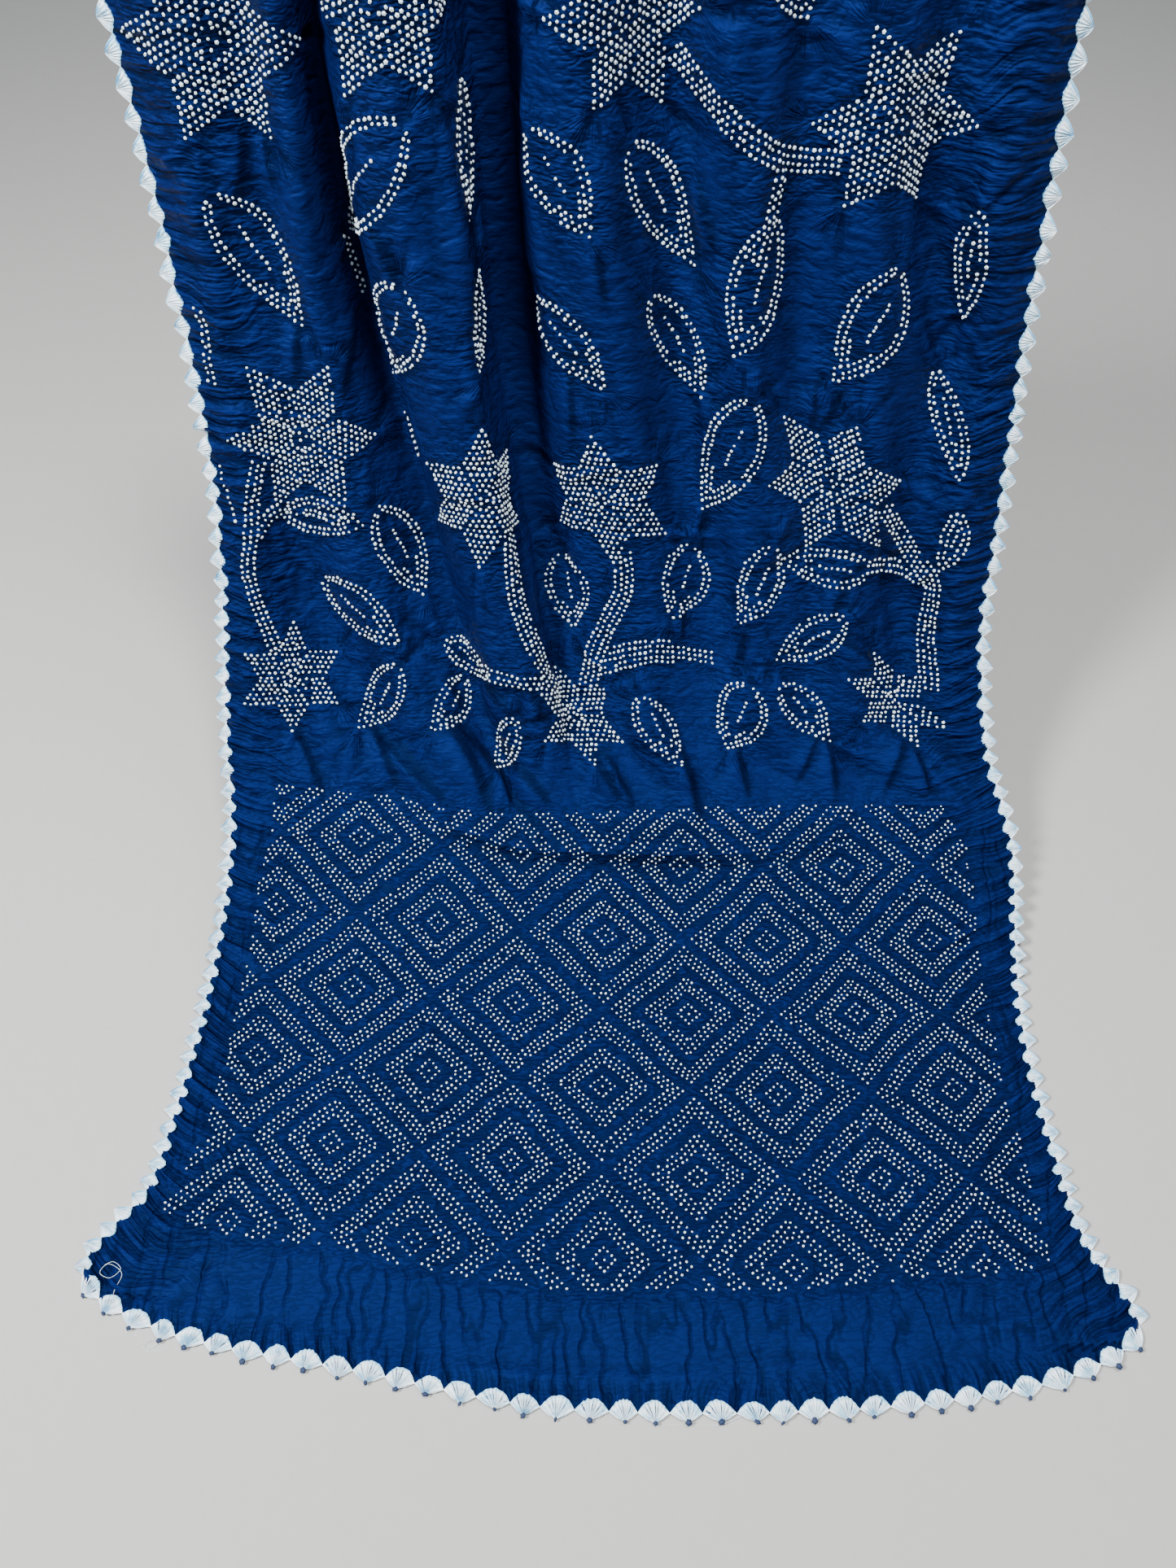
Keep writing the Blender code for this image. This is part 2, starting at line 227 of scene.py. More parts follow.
# Slanting creases, from one end to the other. Width is from the line to where the crease is mostly
# gone. A positive rise is a ridge, a negative one a trough.
Crease = namedtuple("Crease", "across_1 along_1 across_2 along_2 width rise")
CREASES = (
    Crease(-0.385, 0.790, -0.320, 0.690, 0.020, -0.009),
    Crease(-0.345, 0.800, -0.270, 0.690, 0.020, 0.009),
    Crease(-0.160, 0.800, -0.085, 0.650, 0.018, -0.008),
    Crease(0.010, 0.780, 0.080, 0.650, 0.020, -0.010),
    Crease(0.060, 0.770, 0.110, 0.690, 0.020, 0.009),
    Crease(0.172, 0.745, 0.235, 0.660, 0.020, -0.009),
    Crease(0.300, 0.740, 0.330, 0.650, 0.020, -0.008),
    Crease(0.336, 0.760, 0.400, 0.660, 0.020, 0.009),
    Crease(-0.080, 0.622, 0.180, 0.606, 0.018, 0.007),
    Crease(0.180, 0.606, 0.300, 0.616, 0.016, 0.004),
    Crease(0.300, 0.940, 0.375, 0.860, 0.022, -0.010),
)

# Smaller creases that the solid is too coarse for
SMALL_CREASES = (
    Crease(-0.487, 0.171, -0.429, 0.164, 0.006, -0.0022),
    Crease(-0.429, 0.164, -0.367, 0.175, 0.006, -0.0022),
    Crease(-0.436, 0.146, -0.401, 0.143, 0.005, 0.0020),
    Crease(-0.401, 0.143, -0.374, 0.149, 0.005, 0.0020),
    Crease(-0.374, 0.149, -0.383, 0.121, 0.005, -0.0020),
    Crease(-0.383, 0.121, -0.403, 0.102, 0.005, -0.0020),
    Crease(-0.125, 0.045, 0.000, 0.038, 0.006, 0.0022),
    Crease(0.000, 0.038, 0.115, 0.040, 0.006, 0.0020),
    Crease(0.115, 0.060, 0.260, 0.056, 0.006, -0.0014),
    Crease(0.330, 0.074, 0.450, 0.092, 0.007, 0.0020),
    Crease(0.395, 0.720, 0.455, 0.640, 0.009, 0.0034),
    Crease(0.020, 0.360, -0.010, 0.560, 0.006, -0.0012),
    Crease(0.180, 0.590, 0.330, 0.594, 0.008, -0.0020),
)

# Gathers below the points of motifs. The silk swells up gently on one side of the line and drops
# steeply on the other.
GATHERS = (
    Crease(-0.353, 0.743, -0.326, 0.676, 0.020, 0.0091),
    Crease(-0.263, 0.740, -0.237, 0.684, 0.022, 0.0105),
    Crease(-0.260, 0.739, -0.188, 0.667, 0.016, 0.0077),
    Crease(-0.225, 0.720, -0.180, 0.661, 0.015, 0.0070),
    Crease(-0.168, 0.737, -0.127, 0.654, 0.022, 0.0105),
    Crease(-0.154, 0.733, -0.076, 0.636, 0.020, 0.0098),
    Crease(-0.111, 0.694, -0.096, 0.651, 0.012, 0.0063),
    Crease(-0.087, 0.696, -0.054, 0.657, 0.018, 0.0091),
    Crease(-0.006, 0.721, 0.029, 0.666, 0.018, 0.0091),
    Crease(0.021, 0.706, 0.047, 0.657, 0.013, 0.0070),
    Crease(0.110, 0.705, 0.128, 0.636, 0.018, 0.0077),
    Crease(0.173, 0.719, 0.186, 0.668, 0.015, 0.0063),
    Crease(0.266, 0.728, 0.251, 0.690, 0.012, 0.0056),
    Crease(0.283, 0.725, 0.290, 0.670, 0.014, 0.0063),
    Crease(0.371, 0.725, 0.355, 0.680, 0.014, 0.0063),
    Crease(0.386, 0.719, 0.402, 0.675, 0.012, 0.0056),
    Crease(-0.171, 0.796, -0.157, 0.767, 0.012, 0.0056),
    Crease(-0.118, 0.798, -0.093, 0.762, 0.014, 0.0070),
    Crease(-0.069, 0.793, -0.060, 0.762, 0.012, 0.0056),
    Crease(0.107, 0.882, 0.105, 0.850, 0.010, 0.0042),
    Crease(0.180, 0.868, 0.172, 0.826, 0.016, 0.0077),
    Crease(0.129, 1.000, 0.124, 0.955, 0.014, 0.0063),
    Crease(0.290, 0.850, 0.353, 0.807, 0.012, 0.0056),
    Crease(0.286, 0.922, 0.278, 0.880, 0.012, 0.0049),
    Crease(-0.316, 1.374, -0.331, 1.318, 0.014, 0.0056),
    Crease(-0.295, 1.367, -0.293, 1.328, 0.012, 0.0049),
    Crease(-0.202, 1.308, -0.185, 1.256, 0.015, 0.0063),
    Crease(-0.296, 1.193, -0.304, 1.145, 0.013, 0.0056),
    Crease(-0.246, 1.193, -0.256, 1.138, 0.013, 0.0049),
    Crease(-0.119, 1.305, -0.115, 1.226, 0.014, 0.0056),
    Crease(0.003, 1.285, 0.011, 1.232, 0.012, 0.0049),
    Crease(-0.021, 1.160, -0.019, 1.085, 0.013, 0.0049),
    Crease(0.104, 1.324, 0.119, 1.272, 0.014, 0.0056),
    Crease(0.238, 1.142, 0.236, 1.098, 0.012, 0.0049),
    Crease(0.260, 1.127, 0.249, 1.095, 0.012, 0.0042),
    Crease(0.353, 1.305, 0.374, 1.248, 0.014, 0.0056),
    Crease(0.171, 0.592, -0.079, 0.599, 0.018, 0.0084),
    Crease(-0.079, 0.599, -0.157, 0.623, 0.015, 0.0070),
)

# Six-pointed flowers. Turn is in degrees, from one petal pointing up the cloth.
Flower = namedtuple("Flower", "across along radius turn")
FLOWERS = (
    Flower(-0.320, 1.439, 0.084, 30),
    Flower(-0.171, 1.484, 0.084, 30),
    Flower(0.035, 1.461, 0.080, 30),
    Flower(0.280, 1.378, 0.082, 30),
    Flower(-0.305, 1.081, 0.084, 30),
    Flower(-0.112, 1.025, 0.074, 0),
    Flower(0.020, 1.015, 0.072, 0),
    Flower(0.268, 1.031, 0.078, 30),
    Flower(-0.347, 0.805, 0.061, 0),
    Flower(-0.015, 0.760, 0.058, 0),
    Flower(0.363, 0.777, 0.055, 0),
)

# Leaves, from the rounded end to the point
Leaf = namedtuple("Leaf", "across_1 along_1 across_2 along_2 width")
LEAVES = (
    Leaf(-0.350, 1.320, -0.287, 1.197, 0.060),
    Leaf(-0.159, 1.391, -0.234, 1.275, 0.070),
    Leaf(-0.052, 1.372, 0.002, 1.290, 0.058),
    Leaf(0.039, 1.359, 0.105, 1.250, 0.056),
    Leaf(-0.178, 1.249, -0.196, 1.150, 0.062),
    Leaf(-0.051, 1.219, 0.017, 1.140, 0.056),
    Leaf(0.060, 1.221, 0.122, 1.123, 0.056),
    Leaf(0.177, 1.301, 0.149, 1.172, 0.050),
    Leaf(0.302, 1.252, 0.256, 1.142, 0.054),
    Leaf(0.371, 1.304, 0.380, 1.200, 0.030),
    Leaf(0.365, 1.144, 0.404, 1.037, 0.036),
    Leaf(0.170, 1.127, 0.129, 1.000, 0.056),
    Leaf(0.409, 1.000, 0.398, 0.930, 0.026),
    Leaf(-0.236, 1.001, -0.191, 0.899, 0.052),
    Leaf(-0.305, 0.917, -0.219, 0.848, 0.050),
    Leaf(-0.030, 0.943, -0.016, 0.862, 0.056),
    Leaf(0.117, 0.957, 0.096, 0.876, 0.056),
    Leaf(0.206, 0.963, 0.177, 0.872, 0.046),
    Leaf(0.296, 0.878, 0.220, 0.829, 0.042),
    Leaf(-0.221, 0.822, -0.276, 0.743, 0.048),
    Leaf(-0.148, 0.802, -0.185, 0.743, 0.042),
    Leaf(-0.084, 0.758, -0.112, 0.696, 0.036),
    Leaf(0.060, 0.783, 0.108, 0.702, 0.046),
    Leaf(0.188, 0.799, 0.167, 0.721, 0.054),
    Leaf(0.224, 0.798, 0.286, 0.731, 0.048),
    Leaf(-0.340, 0.994, -0.250, 0.986, 0.040),
    Leaf(0.322, 0.935, 0.217, 0.945, 0.042),
    Leaf(-0.171, 0.842, -0.117, 0.804, 0.036),
    Leaf(-0.115, 1.410, -0.114, 1.300, 0.052),
    Leaf(-0.109, 1.250, -0.111, 1.160, 0.044),
    Leaf(0.150, 1.520, 0.184, 1.458, 0.048),
    Leaf(-0.085, 1.560, -0.060, 1.490, 0.050),
)

# Stems of several rows of dots, each through the places listed for its name
StemPoint = namedtuple("StemPoint", "stem across along rows")
STEMS = (
    StemPoint("from the top flower", 0.077, 1.428, 4),
    StemPoint("from the top flower", 0.113, 1.394, 4),
    StemPoint("from the top flower", 0.176, 1.350, 4),
    StemPoint("from the top flower", 0.235, 1.347, 4),
    StemPoint("down to the leaf", 0.177, 1.345, 3),
    StemPoint("down to the leaf", 0.170, 1.300, 3),
    StemPoint("down to the leaf", 0.161, 1.258, 2),
    StemPoint("far left", -0.356, 1.055, 3),
    StemPoint("far left", -0.366, 1.020, 3),
    StemPoint("far left", -0.374, 0.973, 3),
    StemPoint("far left", -0.382, 0.920, 3),
    StemPoint("far left", -0.362, 0.838, 3),
    StemPoint("left branch", -0.372, 0.973, 3),
    StemPoint("left branch", -0.345, 1.000, 3),
    StemPoint("left branch", -0.254, 0.994, 3),
    StemPoint("front fold", -0.090, 1.014, 4),
    StemPoint("front fold", -0.082, 0.940, 4),
    StemPoint("front fold", -0.073, 0.885, 4),
    StemPoint("front fold", -0.040, 0.789, 4),
    StemPoint("front fold branch", -0.117, 0.815, 3),
    StemPoint("front fold branch", -0.080, 0.806, 3),
    StemPoint("front fold branch", -0.040, 0.800, 3),
    StemPoint("middle", 0.038, 0.960, 4),
    StemPoint("middle", 0.040, 0.910, 4),
    StemPoint("middle", 0.021, 0.866, 4),
    StemPoint("middle", -0.003, 0.777, 4),
    StemPoint("low branch", 0.010, 0.822, 4),
    StemPoint("low branch", 0.075, 0.838, 5),
    StemPoint("low branch", 0.150, 0.826, 2),
    StemPoint("right", 0.325, 1.005, 4),
    StemPoint("right", 0.372, 0.945, 4),
    StemPoint("right", 0.398, 0.893, 4),
    StemPoint("right", 0.403, 0.788, 4),
    StemPoint("right branch", 0.390, 0.915, 3),
    StemPoint("right branch", 0.350, 0.934, 3),
    StemPoint("right branch", 0.318, 0.940, 2),
    StemPoint("valley wall, upper", -0.240, 1.270, 2),
    StemPoint("valley wall, upper", -0.228, 1.215, 2),
    StemPoint("valley wall, lower", -0.205, 1.170, 2),
    StemPoint("valley wall, lower", -0.196, 1.105, 2),
    StemPoint("valley wall, lower", -0.186, 1.050, 2),
    StemPoint("left margin, upper", -0.385, 1.215, 2),
    StemPoint("left margin, upper", -0.388, 1.135, 1),
    StemPoint("left margin, lower", -0.398, 1.050, 1),
    StemPoint("left margin, lower", -0.388, 0.990, 1),
)

# The corners of the panel of diamonds
PANEL = (
    EdgePoint(-0.371, 0.680),
    EdgePoint(-0.230, 0.664),
    EdgePoint(-0.081, 0.640),
    EdgePoint(0.150, 0.652),
    EdgePoint(0.425, 0.653),
    EdgePoint(0.452, 0.595),
    EdgePoint(0.452, 0.350),
    EdgePoint(0.462, 0.135),
    EdgePoint(0.240, 0.119),
    EdgePoint(0.021, 0.113),
    EdgePoint(-0.140, 0.130),
    EdgePoint(-0.263, 0.157),
    EdgePoint(-0.360, 0.166),
    EdgePoint(-0.436, 0.190),
    EdgePoint(-0.412, 0.250),
    EdgePoint(-0.392, 0.420),
    EdgePoint(-0.388, 0.560),
)
DIAMOND_FIRST = EdgePoint(0.016, 0.1365)
DIAMOND_WIDTH = 0.190
DIAMOND_HEIGHT = 0.177
DIAMOND_ROWS = (0.885, 0.802, 0.719, 0.503, 0.422, 0.341, 0.130, 0.0)

# Loose tying threads that lie on the cloth and on the floor
ThreadPoint = namedtuple("ThreadPoint", "thread across along height")
THREADS = (
    ThreadPoint("corner loop", -0.480, 0.137, 0.0040),
    ThreadPoint("corner loop", -0.470, 0.141, 0.0046),
    ThreadPoint("corner loop", -0.461, 0.134, 0.0050),
    ThreadPoint("corner loop", -0.470, 0.126, 0.0048),
    ThreadPoint("corner loop", -0.481, 0.131, 0.0044),
    ThreadPoint("corner loop", -0.474, 0.139, 0.0048),
    ThreadPoint("corner loop", -0.459, 0.130, 0.0046),
    ThreadPoint("corner loop", -0.463, 0.113, 0.0040),
    ThreadPoint("corner loop", -0.459, 0.098, 0.0036),
    ThreadPoint("below the hem, left", -0.487, 0.099, 0.0006),
    ThreadPoint("below the hem, left", -0.478, 0.094, 0.0010),
    ThreadPoint("below the hem, left", -0.470, 0.090, 0.0008),
    ThreadPoint("below the hem, left", -0.462, 0.092, 0.0006),
    ThreadPoint("below the hem, middle", -0.447, 0.083, 0.0006),
    ThreadPoint("below the hem, middle", -0.440, 0.076, 0.0009),
    ThreadPoint("below the hem, middle", -0.433, 0.075, 0.0006),
    ThreadPoint("tangle", -0.428, 0.068, 0.0006),
    ThreadPoint("tangle", -0.420, 0.064, 0.0012),
    ThreadPoint("tangle", -0.412, 0.067, 0.0018),
    ThreadPoint("tangle", -0.417, 0.071, 0.0014),
    ThreadPoint("tangle", -0.424, 0.065, 0.0010),
    ThreadPoint("tangle", -0.410, 0.061, 0.0008),
    ThreadPoint("tangle", -0.399, 0.063, 0.0006),
    ThreadPoint("under the hem, right", 0.073, -0.003, 0.0006),
    ThreadPoint("under the hem, right", 0.090, -0.002, 0.0010),
    ThreadPoint("under the hem, right", 0.108, -0.004, 0.0006),
    ThreadPoint("under the hem, right", 0.123, 0.000, 0.0016),
    ThreadPoint("under the hem, right", 0.142, 0.007, 0.0040),
)


class ClothSizes(bpy.types.PropertyGroup):
    """Sizes of the cloth and of what is tied into it."""

    flat_width: bpy.props.FloatProperty(
        name="Flat width", description="Width of the silk before it was tied", default=1.12, unit="LENGTH")
    flat_length: bpy.props.FloatProperty(
        name="Flat length", description="Length of the silk shown, before it was tied", default=1.85, unit="LENGTH")
    columns: bpy.props.IntProperty(
        name="Columns", description="Faces across the cloth", default=232, min=20)
    rows: bpy.props.IntProperty(
        name="Rows", description="Faces along the cloth", default=416, min=40)
    dot_size: bpy.props.FloatProperty(
        name="Dot size", description="Width of a tied dot", default=0.0045, unit="LENGTH")
    dot_height: bpy.props.FloatProperty(
        name="Dot height", description="How far a tied dot stands up", default=0.0018, unit="LENGTH")
    dot_pitch: bpy.props.FloatProperty(
        name="Dot pitch", description="Gap from one dot to the next in a row", default=0.0066, unit="LENGTH")
    scallop_depth: bpy.props.FloatProperty(
        name="Scallop depth", description="From a notch of the edge out to a tip", default=0.0090, unit="LENGTH")
    pucker_height: bpy.props.FloatProperty(
        name="Pucker height", description="Height of the puckers along the sides", default=0.0040, unit="LENGTH")
    wrinkle_height: bpy.props.FloatProperty(
        name="Wrinkle height", description="Height of the stretched wrinkles", default=0.0042, unit="LENGTH")
    thread_width: bpy.props.FloatProperty(
        name="Thread width", description="Thickness of the tying thread", default=0.0004, unit="LENGTH")


class ClothColours(bpy.types.PropertyGroup):
    """Colours of the dyes, which also carry painted shade, and of the stage."""

    # Deep blue is the darkest dye and also the painted shade in the silk's troughs, creases and crinkles, and the
    # painted shadow round each tied dot.
    deep_blue: bpy.props.FloatVectorProperty(
        name="Deep blue", description="The dye in troughs and creases", subtype="COLOR", size=3,
        default=(0.0005, 0.0024, 0.019))
    bright_blue: bpy.props.FloatVectorProperty(
        name="Bright blue", description="The dye where the silk is smooth", subtype="COLOR", size=3,
        default=(0.0016, 0.0062, 0.054))
    pale_blue: bpy.props.FloatVectorProperty(
        name="Pale blue", description="Where dye crept into undyed silk", subtype="COLOR", size=3,
        default=(0.10, 0.42, 0.66))
    undyed: bpy.props.FloatVectorProperty(
        name="Undyed silk", description="The silk under the ties", subtype="COLOR", size=3,
        default=(0.80, 0.92, 0.97))
    floor: bpy.props.FloatVectorProperty(
        name="Floor", description="The stage's floor", subtype="COLOR", size=3, default=(0.36, 0.355, 0.34))


def smooth_curve(points):
    """Many points of a smooth curve through the given few."""
    points = [np.array(point, dtype=float) for point in points]
    ends = [2 * points[0] - points[1], *points, 2 * points[-1] - points[-2]]
    curve = []
    for before, start, end, after in zip(ends, ends[1:], ends[2:], ends[3:]):
        for t in np.arange(CURVE_STEPS) / CURVE_STEPS:
            curve.append(0.5 * (2 * start + (end - before) * t
                                + (2 * before - 5 * start + 4 * end - after) * t ** 2
                                + (3 * start - before - 3 * end + after) * t ** 3))
    return np.array([*curve, points[-1]])


def lengths_along(line):
    """Distance of each point of a line from its first point."""
    return np.concatenate([[0.0], np.cumsum(np.linalg.norm(np.diff(line, axis=0), axis=1))])


def walk(line, shares):
    """Points at given shares of a line's length."""
    reach = lengths_along(line)
    return np.stack([np.interp(shares * reach[-1], reach, line[:, axis]) for axis in range(line.shape[1])], axis=-1)


def unit(vectors):
    """The same directions with a length of one."""
    return vectors / np.maximum(np.linalg.norm(vectors, axis=-1, keepdims=True), 1e-12)


def smooth_step(values):
    """Eases from 0 to 1 as the values go from 0 to 1."""
    t = np.clip(values, 0, 1)
    return t * t * (3 - 2 * t)


def ease(knots, values, wanted):
    """Values read between knots on a curve that never overshoots them."""
    step = np.diff(knots, axis=1)
    slope = np.diff(values, axis=1) / step
    before, after = slope[:, :-1], slope[:, 1:]
    same_way = before * after > 0
    turn = np.where(same_way, 2 * before * after / np.where(same_way, before + after, 1), 0)
    tangent = np.concatenate([slope[:, :1], turn, slope[:, -1:]], axis=1)
    span = np.clip((knots < wanted[:, None]).sum(axis=1) - 1, 0, step.shape[1] - 1)
    row = np.arange(len(wanted))
    width = step[row, span]
    t = np.clip((wanted - knots[row, span]) / width, 0, 1)
    return ((1 + 2 * t) * (1 - t) ** 2 * values[row, span]
            + t * (1 - t) ** 2 * width * tangent[row, span]
            + t * t * (3 - 2 * t) * values[row, span + 1]
            + t * t * (t - 1) * width * tangent[row, span + 1])


def fold_table():
    """Every fold's place across and how far it stands out, at even levels along the cloth."""
    levels = np.linspace(0, CLOTH_LENGTH, LEVELS)
    knots = np.tile(FOLD_LEVELS[::-1], (LEVELS, 1))
    across = [ease(knots, np.tile(fold.across_mm[::-1], (LEVELS, 1)) / 1000, levels) for fold in FOLDS]
    out = [ease(knots, np.tile(fold.out_mm[::-1], (LEVELS, 1)) / 1000, levels) for fold in FOLDS]
    return np.stack(across, axis=1), np.stack(out, axis=1)


FOLD_ACROSS, FOLD_OUT = fold_table()


def crease_rise(crease, across, along):
    """How far one slanting crease lifts the sheet at each place."""
    start = np.array([crease.across_1, crease.along_1])
    run = np.array([crease.across_2, crease.along_2]) - start
    place = np.stack([across, along], axis=-1) - start
    share = np.clip(place @ run / (run @ run), 0, 1)
    gap = np.linalg.norm(place - share[..., None] * run, axis=-1)
    return crease.rise * np.exp(-(gap / crease.width) ** 2) * np.sin(np.pi * (0.1 + 0.8 * share))


def gather_rise(gather, across, along):
    """How far one gather lifts the sheet, and how far it shades its steep side."""
    start = np.array([gather.across_1, gather.along_1])
    run = np.array([gather.across_2, gather.along_2]) - start
    place = np.stack([across, along], axis=-1) - start
    share = np.clip(place @ run / (run @ run), -0.15, 1.15)
    gap = np.linalg.norm(place - share[..., None] * run, axis=-1)
    steep = run[0] * place[..., 1] > run[1] * place[..., 0]
    reach = np.where(steep, 0.45, 1.0) * gather.width
    rise = gather.rise * np.exp(-(gap / reach) ** 2) * np.sin(np.pi * (0.15 + 0.7 * share))
    slope = (np.where(steep, gap, -gap) / gather.width - 0.35) / 0.28
    shade = np.exp(-slope ** 2) * np.clip(rise / gather.rise * 3, 0, 1)
    return rise, shade


def drape_points(across, along):
    """Places in space of points on the cloth, before any pucker."""
    shape = across.shape
    across, along = across.ravel(), along.ravel()
    line = smooth_curve(DRAPE)
    reach = lengths_along(line)
    reach *= CLOTH_LENGTH / reach[-1]
    heading = np.gradient(line, axis=0)
    back = np.interp(along, reach, line[:, 0])
    height = np.interp(along, reach, line[:, 1])
    turn = np.interp(along, reach, np.arctan2(heading[:, 1], heading[:, 0]))
    level = np.clip(along / CLOTH_LENGTH, 0, 1) * (LEVELS - 1)
    lower = np.minimum(level.astype(int), LEVELS - 2)
    share = (level - lower)[:, None]
    knots = FOLD_ACROSS[lower] * (1 - share) + FOLD_ACROSS[lower + 1] * share
    values = FOLD_OUT[lower] * (1 - share) + FOLD_OUT[lower + 1] * share
    out = ease(knots, values, across)
    for crease in CREASES:
        out = out + crease_rise(crease, across, along)
    places = np.stack([across, back - out * np.sin(turn), np.maximum(height + out * np.cos(turn), 0)], axis=1)
    return (places + TO_FRAME).reshape(*shape, 3)


def ripple(x, y, seed):
    """Smooth random heights between -1 and 1, with one hump or hollow a unit."""
    heights = np.random.default_rng(seed).uniform(-1, 1, (128, 128))
    left, low = np.floor(x).astype(int), np.floor(y).astype(int)
    s, t = smooth_step(x - left), smooth_step(y - low)
    corners = [heights[(left + i) % 128, (low + j) % 128] for i in (0, 1) for j in (0, 1)]
    return (1 - s) * ((1 - t) * corners[0] + t * corners[1]) + s * ((1 - t) * corners[2] + t * corners[3])


class Cloth:
    """The cloth as rows and columns of places, with its relief."""

    def __init__(self, sizes):
        self.sizes = sizes
        self.lay_grid()
        self.motifs = Motifs(self)
        self.raise_relief()

    def lay_grid(self):
        """Columns evenly spaced on the silk itself, and rows from the hem to the top."""
        rows, columns = self.sizes.rows, self.sizes.columns
        inset = self.sizes.scallop_depth
        left = smooth_curve(LEFT_EDGE)[::-1]
        hem = smooth_curve(HEM_EDGE)
        right = smooth_curve(RIGHT_EDGE)
        top = np.array([left[-1], right[-1]])
        fine = 4 * 90 + 1
        v = inset / CLOTH_LENGTH + (1 - inset / CLOTH_LENGTH) * np.linspace(0, 1, rows + 1)
        u = inset + (1 - 2 * inset) * np.linspace(0, 1, fine)
        side_l, side_r = walk(left, v)[:, None], walk(right, v)[:, None]
        low, high = walk(hem, u)[None], walk(top, u)[None]
        s, t = u[None, :, None], v[:, None, None]
        plan = ((1 - t) * low + t * high + (1 - s) * side_l + s * side_r
                - (1 - s) * (1 - t) * left[0] - s * (1 - t) * right[0]
                - (1 - s) * t * left[-1] - s * t * right[-1])
        places = drape_points(plan[..., 0], plan[..., 1])
        steps = np.linalg.norm(np.diff(places, axis=1), axis=2)
        reach = np.concatenate([np.zeros((rows + 1, 1)), np.cumsum(steps, axis=1)], axis=1)
        shares = np.linspace(0, 1, columns + 1)
        self.across = np.array([np.interp(shares * r[-1], r, row[:, 0]) for r, row in zip(reach, plan)])
        self.along = np.array([np.interp(shares * r[-1], r, row[:, 1]) for r, row in zip(reach, plan)])
        self.row_width = reach[:, -1]
        self.width = shares[None] * self.row_width[:, None]
        self.smooth = drape_points(self.across, self.along)
        self.smooth_normals = self.find_normals(self.smooth)

    def find_normals(self, places):
        """Unit normals of the grid, facing the viewer and the sky."""
        return unit(np.cross(np.gradient(places, axis=1), np.gradient(places, axis=0)))

    def read(self, table, row, column):
        """Values of a table of the grid between its rows and columns."""
        rows, columns = table.shape[0] - 1, table.shape[1] - 1
        row, column = np.clip(row, 0, rows), np.clip(column, 0, columns)
        j, i = np.minimum(row.astype(int), rows - 1), np.minimum(column.astype(int), columns - 1)
        t, s = row - j, column - i
        if table.ndim == 3:
            t, s = t[..., None], s[..., None]
        return ((1 - t) * ((1 - s) * table[j, i] + s * table[j, i + 1])
                + t * ((1 - s) * table[j + 1, i] + s * table[j + 1, i + 1]))

    def find(self, width, along):
        """Row and column of places given by width, from the left edge, and along."""
        rows, columns = self.sizes.rows, self.sizes.columns
        row = np.clip(along / CLOTH_LENGTH, 0, 1) * rows
        for _ in range(8):
            column = width / np.interp(row, np.arange(rows + 1), self.row_width) * columns
            miss = along - self.read(self.along, row, column)
            row = np.clip(row + miss / CLOTH_LENGTH * rows, -20, rows + 20)
        return row, column

    def to_width(self, across, along):
        """Width from the left edge of one place given by across and along."""
        row = np.clip(along / CLOTH_LENGTH, 0, 1) * self.sizes.rows
        for _ in range(12):
            j = int(np.clip(round(float(row)), 0, self.sizes.rows))
            column = np.interp(across, self.across[j], np.arange(self.sizes.columns + 1))
            miss = along - float(self.read(self.along, np.array(row), np.array(column)))
            row = row + miss / CLOTH_LENGTH * self.sizes.rows
        return float(self.read(self.width, np.array(row), np.array(column)))

    def edges(self):
        """The left side, the hem and the right side as rows and columns: down, across and up."""
        rows, columns = self.sizes.rows, self.sizes.columns
        down = np.stack([np.arange(rows, -1, -1), np.zeros(rows + 1)], axis=1)
        over = np.stack([np.zeros(columns + 1), np.arange(columns + 1)], axis=1)
        up = np.stack([np.arange(rows + 1), np.full(rows + 1, columns)], axis=1)
        return {"left": down.astype(int), "hem": over.astype(int), "right": up.astype(int)}

    def notches(self, side):
        """Reach along one side of the cloth of every notch, and the reach of every grid point of it."""
        first, last, seed = {"left": (0.028, 0.018, 3), "hem": (0.030, 0.030, 4), "right": (0.018, 0.028, 5)}[side]
        cells = self.edges()[side]
        reach = lengths_along(self.smooth[cells[:, 0], cells[:, 1]])
        count = round(2 * reach[-1] / (first + last))
        uneven = np.random.default_rng(seed).uniform(0.88, 1.12, count)
        notches = np.cumsum([0, *(np.geomspace(first, last, count) * uneven)])
        return notches * reach[-1] / notches[-1], reach

    def pull_towards(self, weight, line, reach):
        """Keeps the lines of whatever pulls hardest on the silk at each place."""
        stronger = weight > self.pull[0]
        self.pull[1] = np.where(stronger, self.pull[0], np.maximum(self.pull[1], weight))
        for row, values in ((0, weight), (2, line), (3, reach)):
            self.pull[row] = np.where(stronger, values, self.pull[row])

